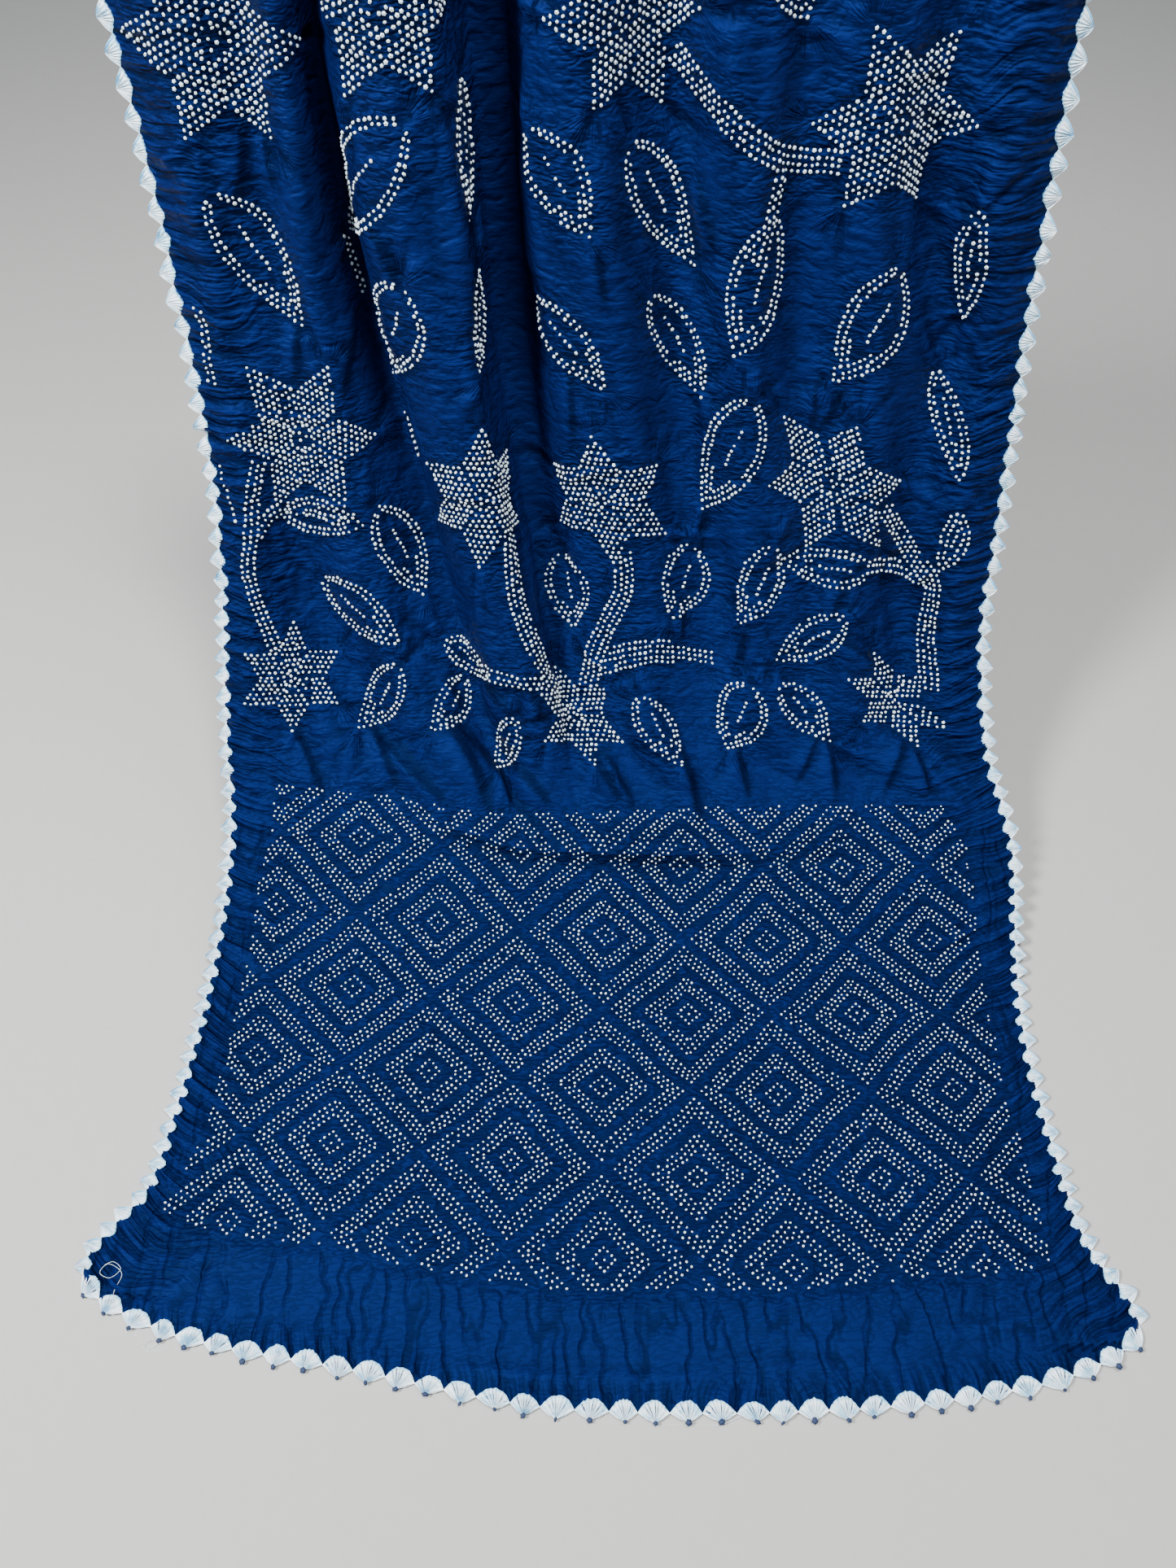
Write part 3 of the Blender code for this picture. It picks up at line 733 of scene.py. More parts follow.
    def raise_relief(self):
        """Puckers, wrinkles and creases, as a height along the normal at each place of the grid."""
        sizes = self.sizes
        x, y = self.width, self.along
        self.pull = np.zeros((4, *x.shape))
        lying = 1 - smooth_step((y - 0.60) / 0.14)
        relief = np.zeros_like(x)
        self.near = self.spread_of_dots(40, 26, 2.4)
        crosswise = 0.28 + 0.80 * self.near
        for side, seed, spread in (("left", 21, 0.13), ("right", 22, 0.19)):
            notches, reach = self.notches(side)
            number = np.interp(reach, notches, np.arange(len(notches)))
            number = number[::-1] if side == "left" else number
            gap = x if side == "left" else self.row_width[:, None] - x
            wander = number[:, None] + 0.9 * ripple(gap / 0.045, number[:, None] / 3.0, seed) * smooth_step(gap / 0.10)
            long = 0.066 + 0.030 * ripple(wander * 0 + 0.5, wander / 1.3, seed + 1)
            tall = 1.0 + 0.45 * ripple(wander * 0 + 0.5, wander / 0.9, seed + 2)
            fade = np.exp(-(gap / long) ** 2)
            relief += sizes.pucker_height * tall * fade * (np.abs(np.sin(np.pi * wander)) ** 0.8 - 0.35)
            crosswise = np.maximum(crosswise, np.exp(-(gap / spread) ** 2))
            self.pull_towards(np.exp(-(gap / 0.085) ** 2), 2.0 * wander + 100 * seed, 0.6 * gap)
        notches, reach = self.notches("hem")
        number = np.interp(reach, notches, np.arange(len(notches)))[None]
        rise = y - y[0][None]
        wander = number + 0.7 * ripple(rise / 0.03, number / 2.0, 31) * smooth_step(rise / 0.06)
        fade = np.exp(-(rise / (0.030 + 0.016 * ripple(wander * 0, wander / 1.1, 32))) ** 2)
        relief += 0.6 * sizes.pucker_height * fade * (np.abs(np.sin(np.pi * wander)) ** 0.8 - 0.3)
        border = smooth_step((0.125 - rise) / 0.04)
        relief += 0.0010 * border * (np.abs(ripple(x / 0.034, rise / 0.09, 33)) ** 0.8 - 0.2)
        self.pull_towards(0.9 * np.exp(-(rise / 0.024) ** 2), 2.0 * wander + 400, 0.3 * rise)

        bend = 0.024 * ripple(x / 0.12, y / 0.15, 41)
        crosswise *= 1 - lying
        wrinkle = np.abs(ripple(x / 0.075 + y / 0.3, (y + bend) / 0.0135, 42)) ** 0.8 - 0.4
        ridge = ripple(x / 0.15, (y + 1.4 * bend) / 0.026, 43)
        fine = ripple(x / 0.05, (y + bend) / 0.0085, 44)
        calm = 0.15 + 1.05 * smooth_step(0.5 + 1.3 * ripple(x / 0.09, y / 0.075, 45))
        relief += sizes.wrinkle_height * crosswise * calm * (0.75 * wrinkle + 0.35 * ridge + 0.22 * fine)
        upright = (1 - lying) * (1 - 0.7 * crosswise)
        relief += 0.0046 * upright * ripple((x + 0.010 * ripple(x / 0.1, y / 0.06, 47)) / 0.026, y / 0.13, 46)
        relief += 0.0016 * upright * ripple(x / 0.045 + y / 0.06, y / 0.035, 48)

        dotted = self.spread_of_dots(7, 4, 3.2)
        self.dotted = dotted
        relief += 0.0010 * dotted * ripple(x / 0.0115, y / 0.0085, 51)
        relief += 0.0009 * dotted * ripple(x / 0.021, y / 0.016, 52)
        soft = 0.5 + 0.5 * ripple(x / 0.10, y / 0.08, 53)
        relief += 0.0014 * lying * soft * (1 - 0.7 * dotted)
        relief += self.lattice_rise()
        for crease in SMALL_CREASES:
            relief += crease_rise(crease, self.across, self.along)
        relief += self.pulled_creases()
        self.shade = np.zeros_like(x)
        for gather in GATHERS:
            rise, shade = gather_rise(gather, self.across, self.along)
            relief += rise
            self.shade = np.maximum(self.shade, shade)
        self.crosswise = crosswise
        # Crest: how far each place stands above its smoothed neighbours. It paints highlight on wrinkle crests and
        # shade in their troughs into the silk's colour.
        level = relief.copy()
        for axis in (0, 1):
            for _ in range(5):
                level = (np.roll(level, 1, axis) + 2 * level + np.roll(level, -1, axis)) / 4
        self.crest = np.clip((relief - level) / 0.0011, -1, 1)
        self.pulled = self.pull[0] * smooth_step((self.pull[0] - self.pull[1]) / 0.3)
        self.relief = relief
        self.places = self.smooth + (SHEET_LIFT + relief)[..., None] * self.smooth_normals
        self.places[..., 2] = np.maximum(self.places[..., 2], SHEET_CLEARANCE)
        self.normals = self.find_normals(self.places)

    def spread_of_dots(self, up, sideways, strength):
        """How thickly each place of the grid is dotted, from 0 to 1, blurred this many times each way."""
        dots = np.concatenate([self.motifs.floral, self.motifs.panel])
        row, column = self.find(dots[:, 0], dots[:, 1])
        spread = np.zeros_like(self.along)
        j = np.clip(np.rint(row).astype(int), 0, self.sizes.rows)
        i = np.clip(np.rint(column).astype(int), 0, self.sizes.columns)
        np.add.at(spread, (j, i), 1.0)
        for axis, times in ((0, up), (1, sideways)):
            for _ in range(times):
                spread = (np.roll(spread, 1, axis) + 2 * spread + np.roll(spread, -1, axis)) / 4
        return np.clip(spread * strength, 0, 1)

    def lattice_rise(self):
        """Plain lanes between the diamonds stand a little above the gathered dots."""
        inside = smooth_step((0.66 - self.along) / 0.03) * smooth_step((self.along - 0.13) / 0.03)
        inside *= smooth_step((0.43 - np.abs(self.across)) / 0.03)
        ring = diamond_ring(self.across, self.along)
        lane = np.exp(-((ring - 1.0) / 0.085) ** 2)
        gap = np.exp(-((ring - 0.60) / 0.05) ** 2) + np.exp(-((ring - 0.22) / 0.05) ** 2)
        return inside * (0.0014 * lane + 0.0009 * gap)

    def pulled_creases(self):
        """Creases that run out from the points of flowers and leaves, where the thread pulls."""
        relief = np.zeros_like(self.along)
        rng = np.random.default_rng(61)
        for number, (width, along, heading) in enumerate(self.motifs.points):
            right, up = self.width - width, self.along - along
            near = (np.abs(right) < 0.11) & (np.abs(up) < 0.11)
            for turn in rng.uniform(-0.65, 0.65, 5):
                angle = heading + turn
                end = (width + rng.uniform(0.030, 0.075) * math.cos(angle),
                       along + rng.uniform(0.030, 0.075) * math.sin(angle))
                crease = Crease(width, along, *end, rng.uniform(0.0040, 0.0062),
                                rng.choice([-1, 1]) * rng.uniform(0.0014, 0.0028))
                relief[near] += crease_rise(crease, self.width[near], self.along[near])
            gap = np.hypot(right, up)
            turned = np.angle(np.exp(1j * (np.arctan2(up, right) - heading)))
            weight = (0.5 * smooth_step((gap - 0.006) / 0.010) * np.exp(-(gap / 0.036) ** 2)
                      * smooth_step((np.cos(turned) - 0.4) / 0.5))
            self.pull_towards(weight, 6 * turned + 37 * number, gap)
        return relief


def diamond_ring(across, along):
    """How far out each place is in its own diamond: 0 at the centre and 1 at the edge."""
    along = along - 0.09 * np.maximum(0.1 - across, 0)
    x = (across - DIAMOND_FIRST.across) / DIAMOND_WIDTH
    y = (along - DIAMOND_FIRST.along) / DIAMOND_HEIGHT
    rings = []
    for shift in (0.0, 0.5):
        s, t = x - shift, y - shift
        rings.append(2 * (np.abs(s - np.rint(s)) + np.abs(t - np.rint(t))))
    return np.minimum(*rings)


def is_inside(points, outline):
    """True for each point that lies inside a closed outline."""
    start = np.array(outline)
    end = np.roll(start, -1, axis=0)
    run = end - start
    above = (start[:, 1] > points[:, None, 1]) != (end[:, 1] > points[:, None, 1])
    level = np.where(run[:, 1] == 0, 1, run[:, 1])
    crossing = start[:, 0] + (points[:, None, 1] - start[:, 1]) * run[:, 0] / level
    return (above & (points[:, None, 0] < crossing)).sum(axis=1) % 2 == 1


class Motifs:
    """Places of every tied dot, as width and along."""

    def __init__(self, cloth):
        self.cloth = cloth
        self.pitch = cloth.sizes.dot_pitch
        self.rng = np.random.default_rng(7)
        self.points = []
        dots = [self.flower(flower) for flower in FLOWERS]
        dots += [self.leaf(leaf) for leaf in LEAVES]
        names = list(dict.fromkeys(point.stem for point in STEMS))
        dots += [self.stem([point for point in STEMS if point.stem == name]) for name in names]
        self.floral = self.thin_out(self.shake(np.concatenate(dots), 0.075))
        self.panel = self.thin_out(self.shake(self.diamonds(), 0.045))

    def place(self, across, along):
        return np.array([self.cloth.to_width(across, along), along])

    def shake(self, dots, share):
        """Moves each dot a little, because they are tied by hand."""
        return dots + self.rng.normal(0, share * self.pitch, dots.shape)

    def thin_out(self, dots):
        """Drops dots that nearly touch an earlier one, and a few more."""
        kept = np.ones(len(dots), bool)
        for number in range(1, len(dots)):
            gap = np.hypot(*(dots[:number] - dots[number]).T)
            kept[number] = not (kept[:number] & (gap < 0.56 * self.pitch)).any()
        kept &= self.rng.random(len(dots)) > 0.02
        return dots[kept]

    def along_line(self, line, pitch, first=0.0):
        """Dots at an even pitch along a line."""
        reach = lengths_along(line)
        steps = np.arange(first, reach[-1], pitch)
        return np.stack([np.interp(steps, reach, line[:, axis]) for axis in (0, 1)], axis=1)

    def flower(self, flower):
        """Six pointed petals filled with rows that run with both sides of the point, round a small ring."""
        centre = self.place(flower.across, flower.along)
        tip, shoulder, root = flower.radius * np.array([[1.0, 0.0], [0.52, 0.265], [0.12, 0.065]])
        down = unit(shoulder - tip)
        mirror = np.array([1, -1])
        steps = self.pitch * np.arange(24)
        lattice = (tip + steps[:, None, None] * down + steps[None, :, None] * down * mirror).reshape(-1, 2)
        loose = np.array([0, 0.3 * self.pitch])
        half = [tip + loose[::-1], shoulder + loose, root + loose]
        petal = lattice[is_inside(lattice, half + [point * mirror for point in half[:0:-1]])]
        dots = []
        for number in range(6):
            angle = math.radians(90 - flower.turn + 60 * number + self.rng.uniform(-4, 4))
            ahead = np.array([math.cos(angle), math.sin(angle)])
            side = np.array([-ahead[1], ahead[0]])
            size = self.rng.uniform((0.93, 0.92), (1.06, 1.06))
            dots.append(centre + size[0] * petal[:, :1] * ahead + size[1] * petal[:, 1:] * side)
            self.points.append((*(centre + size[0] * flower.radius * ahead), angle))
        for reach, count in ((0.05, 3), (0.14, 9)):
            ring = np.arange(count) * 2 * np.pi / count
            dots.append(centre + reach * flower.radius * np.stack([np.cos(ring), np.sin(ring)], axis=1))
        return np.concatenate(dots)

    def leaf(self, leaf):
        """A double outline with a short middle row. The rows meet in a filled point."""
        start = self.place(leaf.across_1, leaf.along_1)
        end = self.place(leaf.across_2, leaf.along_2)
        ahead = end - start
        length = np.hypot(*ahead)
        ahead = ahead / length
        side = np.array([-ahead[1], ahead[0]])
        share = np.linspace(0, 1, 60)
        half = leaf.width / 2 * np.sin(np.pi * share ** 0.80) ** 0.72
        half = half * (1 - 0.25 * smooth_step((share - 0.72) / 0.28))
        dots = []
        for row in range(3):
            inset = row * self.pitch * 0.94
            inner = half - inset
            used = inner > 0.1 * self.pitch
            if row == 2:
                used &= share > 0.66
            if used.sum() < 4:
                continue
            for way in (1, -1):
                bend = 0.0035 * np.sin(np.pi * share[used])
                line = np.stack([share[used] * length, way * inner[used] + bend], axis=1)
                dots.append(self.along_line(line, self.pitch, (row % 2) * self.pitch / 2))
        middle = np.stack([np.linspace(0.26, 0.60, 8) * length, np.full(8, 0.0035)], axis=1)
        dots.append(self.along_line(middle, self.pitch))
        dots.append(np.array([[length, 0.0]]))
        dots = np.concatenate(dots)
        self.points.append((*end, math.atan2(ahead[1], ahead[0])))
        self.points.append((*start, math.atan2(-ahead[1], -ahead[0])))
        return start + dots[:, :1] * ahead + dots[:, 1:] * side

    def stem(self, points):
        """Rows of dots side by side along a bending line."""
        line = smooth_curve([self.place(point.across, point.along) for point in points])
        share = lengths_along(line) / lengths_along(line)[-1]
        ahead = unit(np.gradient(line, axis=0))
        side = np.stack([-ahead[:, 1], ahead[:, 0]], axis=1)
        counts = np.interp(share * (len(points) - 1), np.arange(len(points)), [point.rows for point in points])
        dots = []
        most = max(point.rows for point in points)
        for row in range(most):
            offset = (row - (most - 1) / 2) * self.pitch * 0.95
            used = np.abs(offset) < counts * self.pitch * 0.5
            if used.sum() < 2:
                continue
            dots.append(self.along_line((line + offset * side)[used], self.pitch, (row % 2) * self.pitch / 2))
        return np.concatenate(dots)

    def diamonds(self):
        """Nested diamonds in an interleaved lattice, cut off at the panel's edge."""
        dots = []
        a, b = DIAMOND_WIDTH / 2, DIAMOND_HEIGHT / 2
        side = math.hypot(a, b)
        for row in range(-1, 8):
            for column in range(-3, 4):
                centre = np.array([DIAMOND_FIRST.across + DIAMOND_WIDTH * (column + 0.5 * (row % 2)),
                                   DIAMOND_FIRST.along + b * row])
                centre += self.rng.normal(0, 0.0015, 2)
                for number, ring in enumerate(DIAMOND_ROWS):
                    corners = centre + ring * np.array([[a, 0], [0, b], [-a, 0], [0, -b], [a, 0]])
                    count = max(2, round(side * ring / (0.96 * self.pitch)))
                    share = (np.arange(4 * count) + 0.5 * (number % 2)) / count
                    dots.append(np.stack([np.interp(share, range(5), corners[:, axis]) for axis in (0, 1)], axis=1))
        dots = np.concatenate(dots)
        dots[:, 1] += 0.09 * np.maximum(0.1 - dots[:, 0], 0)
        dots = dots[is_inside(dots, PANEL)]
        dots[:, 0] += 0.0030 * ripple(dots[:, 0] / 0.05, dots[:, 1] / 0.05, 71)
        dots[:, 1] += 0.0030 * ripple(dots[:, 0] / 0.05, dots[:, 1] / 0.05, 72)
        width = [self.cloth.to_width(*dot) for dot in dots]
        return np.stack([width, dots[:, 1]], axis=1)


class Nodes:
    """Adds nodes to a tree, with their settings first and then the values or links of their sockets."""

    def __init__(self, tree):
        self.tree = tree

    def add(self, kind, settings=None, inputs=None, stops=()):
        node = self.tree.nodes.new(kind)
        for name, value in (settings or {}).items():
            setattr(node, name, value)
        for number, (place, colour) in enumerate(stops):
            ramp = node.color_ramp.elements
            stop = ramp[number] if number < 2 else ramp.new(place)
            stop.position = place
            stop.color = (*colour, 1)
        for name, value in (inputs or {}).items():
            self.join(node.inputs[name], value)
        return node

    def join(self, socket, value):
        """Gives a socket a value or a link."""
        if isinstance(value, Number):
            value = value.socket
        if isinstance(value, bpy.types.NodeSocket):
            self.tree.links.new(value, socket)
        else:
            socket.default_value = value

    def number(self, socket):
        return Number(self, socket)

    def mix(self, factor, one, other):
        """A colour between two."""
        node = self.add("ShaderNodeMix", {"data_type": "RGBA"})
        self.join(node.inputs[0], factor)
        self.join(node.inputs[6], one)
        self.join(node.inputs[7], other)
        return node.outputs[2]

    def scaled(self, vector, scale):
        """A vector with each part multiplied."""
        return self.add("ShaderNodeVectorMath", {"operation": "MULTIPLY"}, {0: vector, 1: scale}).outputs[0]

    def noise(self, vector, scale=1.0, detail=2.0, rough=0.5):
        node = self.add("ShaderNodeTexNoise", {"noise_dimensions": "3D"},
                        {"Vector": vector, "Scale": scale, "Detail": detail, "Roughness": rough})
        return self.number(node.outputs[0])

    def attribute(self, name):
        return self.number(self.add("ShaderNodeAttribute", {"attribute_name": name}).outputs["Fac"])


class Number:
    """A number that comes from a socket, so that shader maths reads as plain sums."""

    def __init__(self, nodes, socket):
        self.nodes = nodes
        self.socket = socket

    def maths(self, operation, *values):
        node = self.nodes.add("ShaderNodeMath", {"operation": operation}, dict(enumerate(values)))
        return Number(self.nodes, node.outputs[0])

    def __add__(self, other):
        return self.maths("ADD", self, other)

    def __radd__(self, other):
        return self.maths("ADD", other, self)

    def __sub__(self, other):
        return self.maths("SUBTRACT", self, other)

    def __rsub__(self, other):
        return self.maths("SUBTRACT", other, self)

    def __mul__(self, other):
        return self.maths("MULTIPLY", self, other)

    def __rmul__(self, other):
        return self.maths("MULTIPLY", other, self)

    def __abs__(self):
        return self.maths("ABSOLUTE", self)

    def above(self, low, high):
        """0 below low, 1 above high, with a soft step between."""
        node = self.nodes.add("ShaderNodeMapRange", {"interpolation_type": "SMOOTHSTEP", "clamp": True},
                              {"Value": self, "From Min": low, "From Max": high})
        return Number(self.nodes, node.outputs["Result"])


def new_material(name):
    """A material, its node builder and its shader."""
    material = bpy.data.materials.new(name)
    material.use_nodes = True
    return material, Nodes(material.node_tree), material.node_tree.nodes["Principled BSDF"]


def rgba(colour):
    return (*colour, 1)


def dyed_silk(colours):
    """Dark blue silk: wrinkles across it, creases where it is pulled, crinkles between the dots and slubs, with painted
    highlight and shade in its colour.
    """
    material, nodes, shader = new_material("dyed_silk")
    cloth = nodes.add("ShaderNodeUVMap", {"uv_map": "flat_cloth"}).outputs[0]
    pull = nodes.add("ShaderNodeUVMap", {"uv_map": "pull_lines"}).outputs[0]
    dotted = nodes.attribute("dotted")
    crosswise = nodes.attribute("crosswise")
    pulled = nodes.attribute("pulled")
    crest = nodes.attribute("crest")
    near = nodes.attribute("near")
    shade = nodes.attribute("shade")
    room = nodes.add("ShaderNodeTexCoord").outputs["Object"]
    bend = nodes.scaled(cloth, (11, 11, 0))
    wander = nodes.add("ShaderNodeVectorMath", {"operation": "MULTIPLY_ADD"},
                       {0: nodes.add("ShaderNodeTexNoise", None, {"Vector": bend, "Scale": 1.0}).outputs["Color"],
                        1: (0.0, 0.03, 0.0), 2: cloth}).outputs[0]
    across = abs(nodes.noise(nodes.scaled(wander, (10, 105, 1)), 1.0, 2.0, 0.5) - 0.5) * 2.0
    across_fine = nodes.noise(nodes.scaled(wander, (32, 240, 1)), 1.0, 2.0, 0.55)
    pull_line = abs(nodes.noise(nodes.scaled(pull, (1, 14, 1)), 1.0, 1.5, 0.5) - 0.5) * 2.0
    pull_fine = nodes.noise(nodes.scaled(pull, (2.3, 40, 1)), 1.0, 1.0, 0.5)
    sway = nodes.add("ShaderNodeVectorMath", {"operation": "MULTIPLY_ADD"},
                     {0: nodes.add("ShaderNodeTexNoise", None, {"Vector": room, "Scale": 32.0}).outputs["Color"],
                      1: (0.020, 0.0, 0.0), 2: room}).outputs[0]
    upright = abs(nodes.noise(nodes.scaled(sway, (34, 7, 0)), 1.0, 1.0, 0.5) - 0.5) * 2.0
    plain = (1.0 - crosswise.above(0.0, 0.2)) * (1.0 - dotted.above(0.02, 0.3))
    crinkle = abs(nodes.noise(nodes.scaled(cloth, (65, 140, 1)), 1.0, 1.5, 0.5) - 0.5) * 2.0
    crumple = abs(nodes.noise(nodes.scaled(wander, (30, 44, 1)), 1.0, 1.0, 0.5) - 0.5) * 2.0
    loose = crosswise.above(0.0, 0.3) * (1.0 - 0.5 * near)
    patch = nodes.noise(nodes.scaled(cloth, (9, 11, 1)), 1.0, 3.0, 0.6)
    weave = nodes.noise(nodes.scaled(cloth, (260, 2100, 1)), 1.0, 1.0, 0.5)
    slub = nodes.noise(nodes.scaled(cloth, (1700, 240, 1)), 1.0, 1.0, 0.5)
    lively = patch.above(0.36, 0.62) * 0.85 + 0.15
    millimetres = (5.6 * across * crosswise * lively + 1.1 * across_fine * (0.2 + 0.8 * crosswise)
                   + pulled * (3.2 * pull_line.above(0.0, 0.30) + 1.8 * pull_fine)
                   + 1.3 * crumple.above(0.0, 0.30) * loose + 1.9 * upright.above(0.0, 0.14) * plain
                   + crinkle.above(0.0, 0.40) * (0.35 + 2.6 * near) + 0.08 * weave + 0.08 * slub)
    bump = nodes.add("ShaderNodeBump", None, {"Strength": 1.0, "Distance": 0.001, "Height": millimetres})
    # Painted shade in the valleys of the crosswise wrinkles.
    valley = (1.0 - across.above(0.0, 0.16)) * crosswise * lively
    # Painted shade along thin crease lines: where thread pulls, in upright creases and in crumples.
    crease_shade = ((1.0 - pull_line.above(0.0, 0.09)) * pulled
             + (1.0 - upright.above(0.0, 0.05)) * plain * patch.above(0.35, 0.6)
             + 0.3 * (1.0 - crumple.above(0.0, 0.07)) * loose * patch.above(0.4, 0.6))
    # Painted shade in the crinkle troughs, strongest near the dots.
    fold = (1.0 - crinkle.above(0.0, 0.16)) * (0.35 + 0.65 * near)
    # How bright the dye is. Patch and slub give the silk's own uneven tone. Crest adds painted highlight and shade, and
    # the masks above add painted shade, as does shade on the steep side of gathers. The silk among the dots is darker,
    # partly painted shade between puckers and partly deeper dye. It is also darker where there are no crosswise
    # wrinkles.
    bright = (0.50 + 0.60 * patch + 0.20 * slub + 0.30 * crest - 0.45 * valley - 0.7 * crease_shade - 0.75 * fold
              - 1.1 * shade - 0.26 * dotted - 0.20 * (1.0 - crosswise.above(0.0, 0.2))).above(0.05, 1.05)
    dye = nodes.mix(bright, rgba(colours.deep_blue), rgba(colours.bright_blue))
    nodes.join(shader.inputs["Base Color"], dye)
    nodes.join(shader.inputs["Roughness"], 0.46 + 0.16 * patch)
    nodes.join(shader.inputs["Normal"], bump.outputs[0])
    shader.inputs["Specular IOR Level"].default_value = 0.5
    shader.inputs["IOR"].default_value = 1.22
    shader.inputs["Specular Tint"].default_value = (0.10, 0.30, 1.0, 1)
    return material


def tied_silk(colours):
    """White silk pinched into a dot, blue in the hole that the thread left, and dark blue at its rim that is partly dye
    and partly a painted shadow round the dot.
    """
    material, nodes, shader = new_material("tied_silk")
    out = nodes.attribute("out")
    tone = nodes.attribute("tone")
    hole = 1.0 - out.above(0.10, 0.42)
    opened = (tone * 1.6 - 0.25).above(0.0, 1.0)
    # The skirt of each nub turns dark blue: partly dye bled in, partly a painted shadow round the dot.
    rim = out.above(0.74, 0.94)
    white = nodes.mix((1.0 - tone) * 0.22, rgba(colours.undyed), rgba(colours.pale_blue))
    holed = nodes.mix(hole * opened, white, rgba(colours.bright_blue))
    nodes.join(shader.inputs["Base Color"], nodes.mix(rim * 0.95, holed, rgba(colours.deep_blue)))
    shader.inputs["Roughness"].default_value = 0.6
    return material


def edge_silk(colours):
    """White pleated silk with dye creeping in from the cloth and from the tie, and a darker blue in the pleats' troughs
    that is partly dye and partly painted shade.
    """
    material, nodes, shader = new_material("scalloped_edge")
    inner = nodes.attribute("inner")
    tint = nodes.attribute("tint")
    pleat = nodes.attribute("pleat")
    place = nodes.add("ShaderNodeTexCoord").outputs["Object"]
    fuzz = nodes.noise(place, 420.0, 2.0, 0.6)
    bleed = (inner + 0.30 * (fuzz - 0.5)).above(0.93, 1.05)
    halo = (inner + 0.60 * (fuzz - 0.5)).above(0.66, 1.02)
    smudge = nodes.noise(place, 110.0, 2.0, 0.6).above(0.46, 0.66)
    clean = nodes.mix(smudge * 0.7, (0.93, 0.98, 1.0, 1), (0.30, 0.60, 0.76, 1))
    # The pleats' troughs are darker blue: partly dye taken into the pleats, partly painted shade.
    white = nodes.mix(pleat * 0.75, clean, (0.14, 0.36, 0.52, 1))
    tinted = nodes.mix((tint + 0.5 * (fuzz - 0.5)).above(0.25, 0.9) * 0.75, white, rgba(colours.pale_blue))
    soft = nodes.mix(halo * 0.8, tinted, rgba(colours.pale_blue))
    nodes.join(shader.inputs["Base Color"], nodes.mix(bleed, soft, rgba(colours.bright_blue)))
    fine = nodes.noise(place, 1500.0, 1.0, 0.5)
    bump = nodes.add("ShaderNodeBump", None, {"Strength": 0.3, "Distance": 0.0003, "Height": fine})
    nodes.join(shader.inputs["Normal"], bump.outputs[0])
    shader.inputs["Roughness"].default_value = 0.62
    return material


def plain_fibre(name, colour, rough):
    """Thread or knotted fibre with a little unevenness."""
    material, nodes, shader = new_material(name)
    place = nodes.add("ShaderNodeTexCoord").outputs["Object"]
    speck = nodes.noise(place, 900.0, 2.0, 0.6)
    darker = tuple(0.55 * part for part in colour)
    nodes.join(shader.inputs["Base Color"], nodes.mix(speck.above(0.35, 0.7), rgba(darker), rgba(colour)))
    shader.inputs["Roughness"].default_value = rough
    return material


def new_mesh(name, places, faces, material=None):
    """A smooth-shaded mesh object at the origin."""
    mesh = bpy.data.meshes.new(name)
    corners = np.asarray(faces).tolist() if len(faces) else []
    mesh.from_pydata(np.asarray(places).reshape(-1, 3).tolist(), [], corners)
    mesh.shade_smooth()
    if material:
        mesh.materials.append(material)
    thing = bpy.data.objects.new(name, mesh)
    bpy.context.scene.collection.objects.link(thing)
    return thing


def add_values(mesh, name, values, kind="FLOAT"):
    """Stores one value or direction for each point of a mesh."""
    layer = mesh.attributes.new(name, kind, "POINT")
    field = "vector" if kind == "FLOAT_VECTOR" else "value"
    layer.data.foreach_set(field, np.asarray(values, np.float32).ravel())


_made = {}


def the_cloth():
    """The cloth's places and relief, worked out once."""
    if "cloth" not in _made:
        _made["cloth"] = Cloth(bpy.context.scene.cloth_sizes)
    return _made["cloth"]


def nub(name, outline, heights, colour_places):
    """A small closed nub: a middle, a ring, a wider ring and an underside."""
    sides = NUB_SIDES
    corners = np.arange(sides) * 2 * np.pi / sides
    ring = np.stack([np.cos(corners), np.sin(corners), np.zeros(sides)], axis=1)
    narrow_ring = ring * outline[0] + [0, 0, heights[1]]
    wide_ring = ring * outline[1] + [0, 0, heights[2]]
    places = [[0, 0, heights[0]], *narrow_ring, *wide_ring, [0, 0, heights[3]]]
    faces = []
    wide, under = 1 + sides, 1 + 2 * sides
    for this in range(sides):
        after = (this + 1) % sides
        faces += [(0, 1 + this, 1 + after), (1 + this, wide + this, wide + after),
                  (1 + this, wide + after, 1 + after), (under, wide + after, wide + this)]
    thing = new_mesh(name, places, faces)
    tip, narrow, broad = colour_places
    add_values(thing.data, "out", [tip] + [narrow] * sides + [broad] * sides + [0.0])
    return thing


